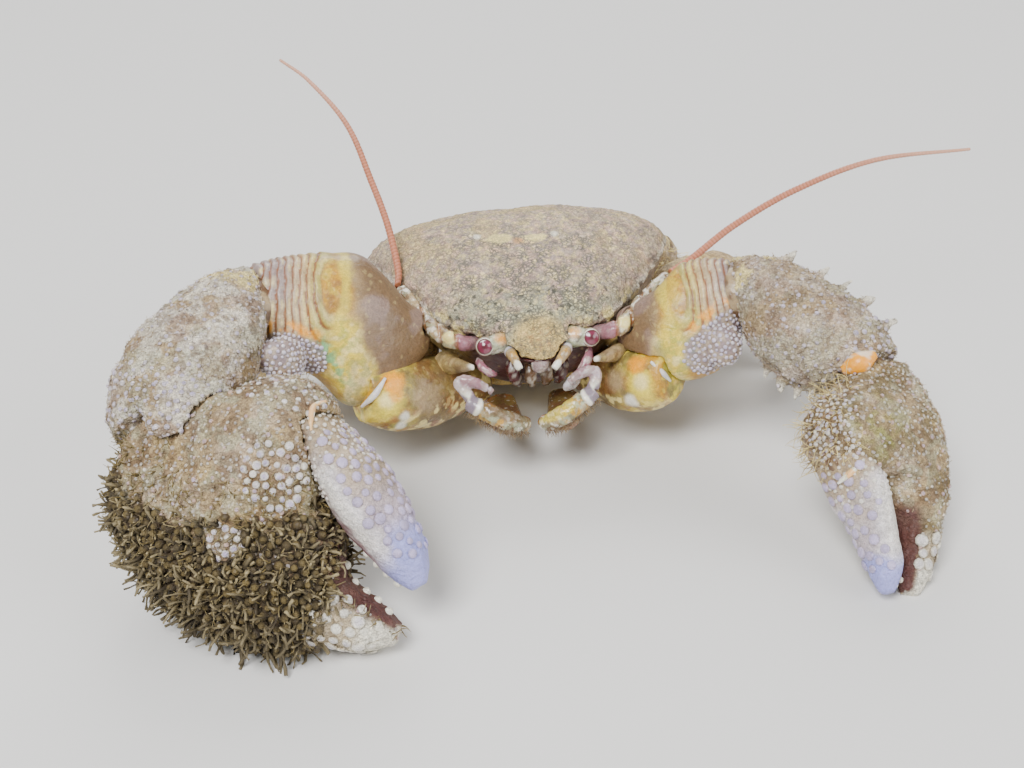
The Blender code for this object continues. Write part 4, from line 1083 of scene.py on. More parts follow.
        arm.colour(Tint.MIST, 0.45 * blots(p, 0.4, 14, 0.1, 0.3) * on_palp, 1.0)
        maker.cover(arm, f"jaw_arm_{self.side}", GLASSY, "shell")
        where = 0.8 * ease(arm.normals() @ np.array((0, -0.35, -0.94)), 0.6, 0.95) * (1 - on_palp)
        maker.place(JAW_FRINGE.grown(arm, where, (0, -0.4, -0.5), self.jaw_limb, 21 + self.hand),
                    f"jaw_arm_{self.side}_fringe", BRISTLE, "shell")


HEAD_SIDES = (
    HeadSide(
        "right", -1,
        ((-3.10, 0.95, -0.45), (-3.85, 0.22, 0.02), (-4.75, 0.65, 0.25), (-5.85, 2.45, 0.70), (-6.72, 4.05, 1.35)),
        ((-6.75, 4.66, 1.96), (-6.87, 5.90, 2.78), (-7.16, 7.60, 3.77), (-7.75, 9.76, 5.04),
         (-8.87, 13.00, 7.22), (-10.87, 15.62, 9.05), (-12.38, 16.98, 9.87)),
        ((-1.45, 0.45, -0.75), (-1.40, -0.70, -0.35), (-1.05, -1.35, -0.90)),
        ((-1.90, 1.60, -4.60), (-1.75, -0.90, -4.45), (-1.15, -2.25, -3.60)),
        ((-2.25, -2.90, -2.75), (-3.85, -2.10, -2.10)),
        ((-3.70, -2.00, -2.00), (-4.15, -1.50, -1.25), (-3.35, -1.65, -1.30), (-2.55, -1.95, -1.75)),
        ((-4.75, 1.60, -1.90), (-4.20, 0.10, -1.20), (-3.35, -0.95, -0.80))),
    HeadSide(
        "left", 1,
        ((3.10, 0.90, -0.40), (3.82, 0.05, 0.10), (4.70, 0.35, 0.33), (6.00, 1.85, 0.85), (7.35, 3.00, 1.40)),
        ((8.71, 3.72, 1.86), (11.38, 5.30, 2.87), (15.16, 6.85, 3.97),
         (19.91, 7.95, 4.88), (25.34, 8.05, 5.05)),
        ((1.50, 0.45, -0.80), (1.35, -0.85, -0.35), (0.65, -1.50, -0.95)),
        ((1.50, 1.60, -4.60), (1.15, -0.90, -4.45), (0.15, -2.30, -3.60)),
        ((1.05, -2.95, -2.75), (2.60, -2.30, -2.00)),
        ((2.50, -2.20, -1.90), (2.75, -1.75, -1.25), (2.05, -1.75, -1.15), (1.35, -1.90, -1.60)),
        ((4.75, 1.60, -1.90), (4.00, -0.10, -1.20), (2.75, -1.20, -0.80))),
)


@dataclass
class Trunk:
    """The carapace over the head and back, and the body under it."""

    voxel: float = 0.10
    chest_voxel: float = 0.12
    half_gap: float = 0.06
    rim: float = 0.10

    def margin(self, points: Array) -> Array:
        """How far points lie above the carapace's side margin."""
        table = np.array(BODY_SECTIONS)
        return points[:, 2] - hermite(table[:, 0], table[:, 2:3], points[:, 1])[:, 0]

    def build(self, maker: Maker, sides: tuple) -> None:
        """Makes both parts of the body."""
        body = body_solid()
        rooms = [room for side in sides for room in side.rooms()]
        up = unit(np.array(SPLIT_UP))
        middle = np.array(SPLIT_POINT)
        upper = Workshop.halved(body, tuple(middle + up * self.half_gap), tuple(-up))
        back = Workshop.moulded([upper], rooms, self.voxel, 4)
        self.shape_back(back)
        self.paint_back(back)
        maker.cover(back, "carapace", BACK, "shell")
        lower = Workshop.halved(body, tuple(middle - up * self.half_gap), tuple(up))
        cheeks = [Limb(side.cheek, (0, -1, 0), CHEEK).solid() for side in sides]
        chest = Workshop.moulded([lower, *cheeks], rooms, self.chest_voxel, 3)
        self.paint_chest(chest, sides)
        maker.cover(chest, "thorax", SMOOTH, "smooth_shell")
        self.build_mouth(maker)

    def build_mouth(self, maker: Maker) -> None:
        """The small inner mouthparts between the cheeks, from the front's underside down to the jaws."""
        mouth = Clay.empty()
        for path, wide, tint in MOUTHPARTS:
            girths = (even(0, wide * 0.6, wide * 0.5), even(0.3, wide, wide * 0.8), even(0.7, wide, wide * 0.8),
                      even(1, wide * 0.5, wide * 0.4))
            part = tube(Limb(path, (0.1, -1, 0.2), girths, power=2.0).rings(16, 20))
            part.push(0.05 * cloud(part.points, 0.35, 15))
            part.colour(tint, 1.0, 0.4)
            part.colour(Tint.IVORY, 0.4 * blots(part.points, 0.3, 16, 0.1, 0.3))
            mouth.join([part])
        maker.place(mouth, "mouthparts", GLASSY, "smooth_shell")

    def shape_back(self, back: Clay) -> None:
        """A beaded margin, low lobes, fine wrinkles by the sides and fine grain all over."""
        p = back.points
        over = self.margin(p)
        behind = ease(p[:, 1], 0.4, 1.6)
        bead = np.exp(-(over / 0.20) ** 2) * behind
        side = ease(np.abs(p[:, 0]), 3.8, 6.2) * ease(over, 0.0, 0.4)
        folds = np.sin((p[:, 1] + np.abs(p[:, 0]) * 0.55 + 0.5 * cloud(p, 2.0, 11)) * 11.0)
        knobs = 0.10 * blots(p, 0.55, 17, 0.0, 0.3) * ease(np.abs(over), 0.5, 0.1)
        lumps = 0.12 * cloud(p, 3.0, 12) + 0.022 * side * folds + 0.07 * cloud(p, 0.3, 13, 2)
        groove = ease(np.abs(p[:, 0]), 0.5, 0.0) * ease(p[:, 1], 1.5, -0.2) * ease(over, 0.1, 0.4)
        back.push(self.rim * bead + knobs + lumps - 0.12 * groove)

    def paint_back(self, back: Clay) -> None:
        """Netted buff and plum, paler sides, a sage and tan front, a pale rim and a pair of cream marks."""
        p = back.points
        over = self.margin(p)
        front = ease(p[:, 1] + 0.5 * cloud(p, 1.5, 18), 3.2, 0.8)
        middle = ease(np.abs(p[:, 0]), 5.6, 3.0) * ease(p[:, 1], 6.6, 4.6)
        back.colour(Tint.DUST, 1.0, 0.0)
        back.colour(Tint.PLUM, 0.5 * middle * blots(p, 1.6, 1, -0.2, 0.25))
        back.colour(Tint.BLUSH, 0.8 * blots(p, 0.5, 3, -0.05, 0.25))
        back.colour(Tint.PLUM, 0.55 * blots(p, 0.4, 26, 0.08, 0.3))
        back.colour(Tint.SAND, 0.5 * blots(p, 1.8, 19, 0.0, 0.3) * ease(p[:, 1], 3.5, 6.0))
        back.colour(Tint.SAGE, 0.8 * front * blots(p, 1.1, 2, -0.35, 0.15))
        back.colour(Tint.CREAM, 0.5 * blots(p, 0.3, 4, 0.12, 0.32) * ease(over, 0.3, 1.5))
        back.colour(Tint.SAND, 0.95 * near(p, (0.05, -0.9, 0.4), 1.9, 0.55), 0.25)
        back.colour(Tint.RUST, 0.5 * near(p, (0.0, -0.9, 0.4), 1.5) * blots(p, 0.22, 20, 0.12, 0.3))
        for x, y, wide in ((-1.15, 5.35, 0.85), (0.55, 5.20, 0.85)):
            spot = np.hypot((p[:, 0] - x) / wide, (p[:, 1] - y) / 0.42) + 0.5 * cloud(p, 0.5, 21)
            back.colour(Tint.CREAM, 0.9 * ease(spot, 1.0, 0.6) * (p[:, 2] > 1.0), 0.8)
        for spot in ((-2.42, 5.76, 3.22), (1.67, 5.41, 3.2)):
            back.colour(Tint.IVORY, 0.9 * near(p, spot, 0.30, 0.4), 0.9)
        back.colour(Tint.AMBER, 0.45 * near(p, (-0.3, 5.0, 3.19), 0.45))
        back.colour(Tint.IVORY, 0.55 * ease(np.abs(over - 0.05), 0.26, 0.05) * ease(p[:, 1], 0.5, 2.0), 0.5)
        edge = ease(over, 0.7, 0.2) * ease(p[:, 1], -0.3, 0.5)
        back.colour(Tint.UMBER, 0.6 * edge * blots(p, 0.5, 22, 0.0, 0.25))
        back.colour(Tint.CREAM, 0.8 * edge * blots(p, 0.6, 23, 0.1, 0.25) * ease(p[:, 1], 5.0, 2.5), 0.6)
        # Painted shade: umber darkens the side wall below the margin, under its overhang.
        back.colour(Tint.UMBER, 0.6 * ease(over, -0.2, -0.9))
        back.marks[:, 0] = 0.65 + 0.35 * middle
        back.marks[:, 1] = 0.15 + 0.85 * ease(p[:, 1], 3.4, 1.6)
        back.marks[:, 2] = 0.4 + 0.6 * front

    def paint_chest(self, chest: Clay, sides: tuple) -> None:
        """Buff sides, a cream underside, a dark red mouth darkened as painted shade in its recess, and white-tipped
        cheeks.
        """
        p = chest.points
        chest.colour(Tint.SAND, 1.0, 0.3)
        chest.colour(Tint.BARK, 0.6 * blots(p, 2.0, 14, -0.05, 0.3))
        chest.colour(Tint.CREAM, 0.6 * ease(p[:, 2], -3.6, -4.6))
        # The mouth's dark red is partly its own colour and partly painted shade in the recess; the ink blots are deeper
        # painted shade there.
        chest.colour(Tint.MAROON, ease(p[:, 1], 3.2, 1.6) * ease(np.abs(p[:, 0]), 4.4, 3.0), 0.6)
        chest.colour(Tint.INK, 0.5 * ease(p[:, 1], 2.4, 1.4) * blots(p, 0.6, 24, 0.0, 0.3))
        for side in sides:
            chest.colour(Tint.BARK, 0.9 * near_line(p, side.cheek[1], side.cheek[2], 0.8), 0.3)
            tip = near_line(p, side.cheek[1], side.cheek[2], 0.9)
            chest.colour(Tint.OLIVE, 0.7 * tip * blots(p, 0.5, 30, -0.1, 0.2))
            chest.colour(Tint.UMBER, 0.7 * tip * blots(p, 0.4, 31, 0.05, 0.25))
            chest.colour(Tint.IVORY, near(p, side.cheek[2], 0.45), 1.0)


MOUTHPARTS = (
    (((0.0, -0.55, -0.55), (0.0, -0.95, -0.85), (0.0, -0.85, -1.45)), 0.42, Tint.PLUM),
    (((-0.45, 0.1, -1.3), (-0.42, -0.35, -1.9), (-0.35, -0.25, -2.6)), 0.32, Tint.UMBER),
    (((0.42, 0.1, -1.3), (0.40, -0.35, -1.9), (0.35, -0.25, -2.6)), 0.32, Tint.UMBER),
    (((-1.3, 0.7, -1.2), (-1.25, 0.1, -2.0), (-1.0, 0.2, -2.8)), 0.36, Tint.MAROON),
    (((1.3, 0.7, -1.2), (1.25, 0.1, -2.0), (1.0, 0.2, -2.8)), 0.36, Tint.MAROON),
    (((2.75, 0.2, -0.95), (2.5, -0.7, -1.0), (2.15, -1.0, -1.45), (1.85, -1.0, -1.75)), 0.25, Tint.ROSE),
    (((1.95, -1.05, -1.65), (1.60, -1.30, -2.00), (1.20, -1.20, -2.40)), 0.30, Tint.MIST),
    (((-3.1, 0.3, -1.05), (-2.9, -0.6, -1.05), (-2.5, -0.8, -1.35), (-2.2, -0.3, -1.7)), 0.20, Tint.ROSE),
)


COXA = (even(0.0, 1.15, 1.05), even(0.5, 1.30, 1.15), even(1.0, 1.0, 0.85))
LEG_MERUS = (even(0.0, 0.95, 0.80), even(0.35, 1.50, 1.15), even(0.7, 1.40, 1.10), even(1.0, 0.95, 0.80))
LEG_CARPUS = (even(0.0, 0.90, 0.76), even(0.5, 1.18, 1.00), even(1.0, 0.90, 0.78))
LEG_PROPODUS = (even(0.0, 0.84, 0.72), even(0.4, 1.02, 0.86), even(1.0, 0.66, 0.58))
LEG_DACTYL = (even(0.0, 0.60, 0.52), even(0.5, 0.46, 0.40), even(1.0, 0.28, 0.28))
BRUSH_LEG = (even(0.0, 0.50, 0.40), even(0.4, 0.46, 0.38), even(0.8, 0.40, 0.34), even(1.0, 0.26, 0.26))


def joint_normals(joints: list) -> list:
    """The direction in which a limb passes each joint: midway between the pieces that meet there."""
    ways = [unit(b - a) for a, b in zip(joints, joints[1:])]
    return [ways[0], *(unit(a + b) for a, b in zip(ways, ways[1:])), ways[-1]]


def between(joints: list, normals: list, index: int, gap: float) -> tuple:
    """The ends of the piece between two joints, each half a gap short of its joint's plane."""
    return joints[index] + normals[index] * gap / 2, joints[index + 1] - normals[index + 1] * gap / 2


@dataclass
class Legs:
    """The three pairs of walking legs and the tiny folded last pair."""

    roots: tuple = ((4.9, 4.6), (5.3, 7.2), (4.9, 9.6))
    sweeps: tuple = (8.0, 29.0, 52.0)
    reaches: tuple = (0.96, 1.0, 0.86)
    rises: tuple = (1.0, 1.0, 0.1)
    names: tuple = ("first", "second", "third")
    root_level: float = -3.3
    path: tuple = ((0.0, -3.3), (2.8, -3.3), (6.5, -2.3), (8.8, -3.2), (10.3, -5.4), (10.3, FLOOR))
    kinds: tuple = (("coxa", COXA), ("merus", LEG_MERUS), ("carpus", LEG_CARPUS), ("propodus", LEG_PROPODUS),
                    ("dactyl", LEG_DACTYL))
    voxel: float = 0.13
    gap: float = 0.2

    def build(self, maker: Maker) -> None:
        """Makes every leg."""
        for side, side_name in ((1, "left"), (-1, "right")):
            for number in range(3):
                self.build_leg(maker, number, side, side_name)
            self.build_brush(maker, side, side_name)

    def build_leg(self, maker: Maker, number: int, side: int, side_name: str) -> None:
        """One walking leg, root to tip, with its soft joints and its fringe of bristles."""
        sweep = math.radians(self.sweeps[number])
        way = np.array((side * math.cos(sweep), math.sin(sweep), 0))
        root = np.array((side * self.roots[number][0], self.roots[number][1], 0))
        joints = [root + way * reach * self.reaches[number] + np.array((0, 0, self.level(z, number)))
                  for reach, z in self.path]
        normals = joint_normals(joints)
        normals[-1] = np.array((0, 0, -1.0))
        face = np.cross((0, 0, 1), way)
        name = f"leg_{self.names[number]}_{side_name}"
        soft = Clay.empty()
        fringe = Clay.empty(True)
        for index, (kind, girths) in enumerate(self.kinds):
            start, end = between(joints, normals, index, self.gap)
            if kind == "dactyl":
                end = joints[-1]
            limb = Limb((start, end), tuple(face), girths, 1, normals[index], normals[index + 1])
            seed = 200 + number * 20 + index * 3 + side
            skin = Workshop.moulded([limb.solid()], [], self.voxel * (0.75 if kind == "dactyl" else 1.0), 3)
            self.dress(skin, limb, kind, seed)
            share, up, out = limb.local(skin.points)
            where = 0.5 * ease(np.abs(out) + 0.3 * up, 0.5, 0.9) * ease(share, 0.05, 0.2)
            fringe.join([LEG_BRISTLES.grown(skin, where, tuple(normals[index + 1]), limb, seed)])
            if kind != "coxa":
                skin.join([LEG_GRAINS.domes(skin, 0.9 * ease(up, 0.1, 0.7) * (kind != "dactyl"), seed)])
            maker.cover(skin, f"{name}_{kind}", LEGGY, "shell")
            if index:
                girth = girths[0]
                soft.join([ball(joints[index], 0.82 * min(girth.upper, girth.face), rows=14)])
        soft.colour(Tint.HONEY, 1.0, 0.8)
        maker.place(soft, f"{name}_joints", SOFT, "smooth_shell")
        maker.place(fringe, f"{name}_bristles", BRISTLE, "shell")

    def level(self, given: float, number: int) -> float:
        """The height of a joint on one pair: what rises above the root rises less on the third."""
        return given + max(given - self.root_level, 0.0) * (self.rises[number] - 1.0)

    def dress(self, skin: Clay, limb: Limb, kind: str, seed: int) -> None:
        """Low lumps, pale bands and mottling on one leg piece."""
        share, up, _ = limb.local(skin.points)
        skin.push(0.07 * cloud(skin.points, 0.9, seed))
        skin.colour(Tint.BARK, 1.0, 0.0)
        skin.colour(Tint.DUST, 0.8 * blots(skin.points, 1.2, seed + 1, -0.1, 0.2))
        skin.colour(Tint.PLUM, 0.5 * blots(skin.points, 1.6, seed + 2, 0.0, 0.3))
        skin.colour(Tint.CREAM, 0.7 * ease(share, 0.78, 0.92), 0.3)
        skin.colour(Tint.SAND, 0.5 * ease(up, -0.2, -0.8))
        if kind == "dactyl":
            skin.colour(Tint.UMBER, ease(share, 0.62, 0.75), 1.0)

    def build_brush(self, maker: Maker, side: int, side_name: str) -> None:
        """One of the last, tiny pair of legs, with its brush of bristles."""
        path = ((side * 4.2, 11.8, -3.1), (side * 5.1, 13.4, -3.0), (side * 5.2, 14.4, -2.4), (side * 4.6, 14.9, -1.7))
        limb = Limb(path, (0, 0, 1), BRUSH_LEG)
        skin = Workshop.moulded([limb.solid()], [], 0.07, 3)
        skin.colour(Tint.SAND, 1.0, 0.3)
        skin.colour(Tint.BLUSH, 0.5 * blots(skin.points, 0.8, 31, 0.0, 0.3))
        maker.cover(skin, f"brush_leg_{side_name}", SMOOTH, "shell")
        where = near(skin.points, path[-1], 0.8)
        maker.place(BRUSH.grown(skin, where, (0, 0.3, 1), limb, 40 + side), f"brush_leg_{side_name}_brush",
                    BRISTLE, "shell")


@dataclass
class Tail:
    """The tail folded under the thorax, and the fan at its end."""

    fold: tuple = ((0, 13.2, -1.75), (0, 14.3, -2.5), (0, 13.8, -4.4), (0, 11.4, -5.55), (0, 9.2, -5.85))
    girths: tuple = (Girth(0.0, 0.45, 0.45, 2.9, 2.9), Girth(0.25, 0.50, 0.50, 3.5, 3.5),
                     Girth(0.7, 0.50, 0.50, 4.4, 4.4), Girth(1.0, 0.42, 0.42, 4.3, 4.3))
    fan_path: tuple = ((0, 7.0, -5.85), (0, 5.2, -5.65))
    fan_girths: tuple = (Girth(0.0, 0.42, 0.42, 4.2, 4.2), Girth(0.5, 0.42, 0.42, 4.3, 4.3),
                         Girth(0.85, 0.36, 0.36, 3.2, 3.2), Girth(1.0, 0.28, 0.28, 2.0, 2.0))
    segments: tuple = (0.14, 0.31, 0.48, 0.65, 0.83)
    fan_root: float = 3.5
    fan_seams: tuple = (0.42, 0.80)
    voxel: float = 0.13

    def build(self, maker: Maker) -> None:
        """Makes the tail and its fan."""
        tail = Limb(self.fold, (1, 0, 0), self.girths, power=2.3)
        end, onward = (row[0] for row in tail.frame(1.0)[:2])
        fan = Limb((end + onward * 0.3, *self.fan_path), (1, 0, 0), self.fan_girths, start_normal=onward, power=2.5)
        skin = Workshop.moulded([tail.solid()], [], self.voxel, 3)
        tree = KDTree(201)
        for i, spot in enumerate(tail.centre(np.linspace(0, 1, 201))):
            tree.insert((0, spot[1], spot[2]), i)
        tree.balance()
        share = np.array([tree.find((0, p[1], p[2]))[1] for p in skin.points]) / 200
        lines = sum(ease(np.abs(share - at), 0.035, 0.0) for at in self.segments)
        skin.push(-0.12 * lines)
        skin.colour(Tint.SAND, 1.0, 0.2)
        skin.colour(Tint.BLUSH, 0.6 * blots(skin.points, 1.8, 51, -0.05, 0.25))
        skin.colour(Tint.BARK, 0.6 * lines)
        maker.cover(skin, "abdomen", SMOOTH, "smooth_shell")
        leaf = Workshop.moulded([fan.solid()], [], self.voxel, 3)
        p = leaf.points
        turn = np.arctan2(np.abs(p[:, 0]), p[:, 1] - self.fan_root)
        seams = sum(ease(np.abs(turn - at), 0.05, 0.0) for at in self.fan_seams)
        leaf.push(-0.10 * seams)
        leaf.colour(Tint.SAND, 1.0, 0.2)
        leaf.colour(Tint.BARK, 0.6 * seams)
        maker.cover(leaf, "tail_fan", SMOOTH, "smooth_shell")


LOBE = (even(0.0, 0.5, 0.3), even(0.25, 1.15, 0.7), even(0.6, 1.25, 0.75), even(1.0, 0.5, 0.3))
ISCHIUM = (Girth(0.0, 1.3, 1.2, 1.2, 1.1), Girth(0.45, 1.6, 2.1, 1.7, 1.4), Girth(0.8, 1.6, 2.1, 1.7, 1.4),
           Girth(1.0, 1.3, 1.5, 1.3, 1.1))
BIG_MERUS = (Girth(0.0, 1.0, 1.3, 1.0, 1.2), Girth(0.13, 1.4, 2.7, 1.5, 1.7), Girth(0.25, 2.5, 3.8, 1.9, 1.9),
             Girth(0.42, 3.6, 4.1, 2.2, 2.1), Girth(0.62, 3.5, 2.8, 2.2, 2.0), Girth(0.83, 2.9, 2.5, 2.0, 1.8),
             Girth(1.0, 2.2, 2.1, 1.6, 1.4))
SMALL_MERUS = (Girth(0.0, 0.8, 1.5, 1.0, 1.2), Girth(0.15, 1.2, 2.2, 1.5, 1.6), Girth(0.32, 1.7, 2.9, 1.8, 1.8),
               Girth(0.55, 2.6, 3.2, 1.9, 1.8), Girth(0.8, 2.6, 2.7, 1.7, 1.6), Girth(1.0, 1.9, 2.0, 1.4, 1.2))
BIG_CARPUS = (Girth(0.0, 2.1, 1.3, 1.6, 1.4), Girth(0.2, 3.0, 1.6, 2.4, 2.0), Girth(0.6, 3.8, 2.3, 2.7, 2.3),
              Girth(0.85, 3.6, 2.3, 2.6, 2.2), Girth(1.0, 2.9, 2.1, 2.1, 1.8))
SMALL_CARPUS = (Girth(0.0, 2.1, 1.8, 1.6, 1.4), Girth(0.2, 2.9, 2.2, 2.4, 2.0), Girth(0.6, 3.1, 2.6, 2.6, 2.3),
                Girth(0.85, 2.7, 2.4, 2.4, 2.2), Girth(1.0, 2.1, 2.1, 1.9, 1.8))


@dataclass(frozen=True)
class Patch:
    """A patch of colour on a piece: where it lies, how far it reaches and how strong it is."""

    tint: Tint
    spot: tuple
    reach: float
    share: float = 1.0

    def lay(self, skin: Clay) -> None:
        """Paints the patch, with a ragged edge."""
        ragged = skin.points + 0.18 * self.reach * cloud(skin.points, 0.5, 66)[:, None]
        skin.colour(self.tint, self.share * near(ragged, self.spot, self.reach, 0.35), 0.7)


@dataclass(frozen=True)
class Cluster:
    """A group of larger grains on a claw: its place and reach, and the size and spacing of its grains."""

    spot: tuple
    reach: float
    radius: float
    spacing: float


@dataclass(frozen=True)
class ClawSize:
    """One claw's own sizes, measured from the wrist along the claw and across it."""

    palm_length: float
    palm_girths: tuple
    thumb: tuple
    thumb_girths: tuple
    finger: tuple
    finger_girths: tuple


BIG_CLAW = ClawSize(
    8.0,
    (Girth(0.0, 2.3, 2.6, 1.5, 1.5), Girth(0.18, 3.5, 5.4, 2.1, 2.2), Girth(0.46, 4.9, 6.5, 3.2, 2.9),
     Girth(0.7, 5.0, 6.7, 3.3, 2.8), Girth(0.85, 4.1, 6.5, 2.9, 2.6), Girth(1.0, 1.7, 6.1, 2.0, 2.0)),
    ((5.0, -3.3), (8.4, -3.2), (11.0, -2.95), (12.7, -2.65), (14.05, -2.2)),
    (Girth(0.0, 4.9, 3.6, 2.9, 1.9), Girth(0.37, 4.2, 3.0, 2.9, 1.9), Girth(0.52, 3.2, 2.6, 2.5, 1.8),
     Girth(0.66, 1.7, 1.7, 1.9, 1.5), Girth(0.85, 1.2, 1.2, 1.3, 1.1), Girth(1.0, 0.5, 0.55, 0.6, 0.5)),
    ((5.85, 3.55), (7.9, 2.65), (10.3, 1.65), (12.5, 0.75), (13.75, 0.05)),
    (Girth(0.0, 0.9, 0.6, 2.4, 2.0), Girth(0.3, 1.5, 1.25, 2.8, 2.35), Girth(0.55, 1.55, 1.45, 2.2, 1.8),
     Girth(0.82, 1.15, 1.1, 1.3, 1.1), Girth(0.94, 0.75, 0.75, 0.8, 0.7), Girth(1.0, 0.42, 0.42, 0.45, 0.4)))
SMALL_CLAW = ClawSize(
    7.6,
    (Girth(0.0, 2.3, 3.4, 1.7, 1.6), Girth(0.2, 3.4, 4.9, 2.3, 2.2), Girth(0.5, 4.7, 5.3, 3.2, 2.9),
     Girth(0.75, 4.9, 5.2, 3.2, 2.8), Girth(0.9, 3.9, 4.9, 2.9, 2.5), Girth(1.0, 2.6, 4.6, 2.6, 2.3)),
    ((5.0, -2.5), (8.6, -2.6), (11.0, -2.4), (12.9, -2.1), (14.4, -1.7)),
    (Girth(0.0, 3.6, 2.8, 2.6, 1.9), Girth(0.37, 2.8, 2.2, 2.4, 1.8), Girth(0.6, 1.5, 1.5, 1.9, 1.5),
     Girth(0.85, 1.05, 1.1, 1.2, 1.0), Girth(1.0, 0.5, 0.55, 0.6, 0.5)),
    ((6.3, 3.1), (8.2, 1.7), (10.4, 0.7), (12.7, 0.2), (14.6, 0.1)),
    (Girth(0.0, 1.0, 0.8, 2.2, 2.0), Girth(0.3, 1.3, 1.2, 2.1, 2.2), Girth(0.55, 1.2, 1.2, 1.5, 1.6),
     Girth(0.82, 1.05, 1.0, 1.2, 1.0), Girth(0.94, 0.7, 0.7, 0.75, 0.65), Girth(1.0, 0.4, 0.4, 0.4, 0.35)))


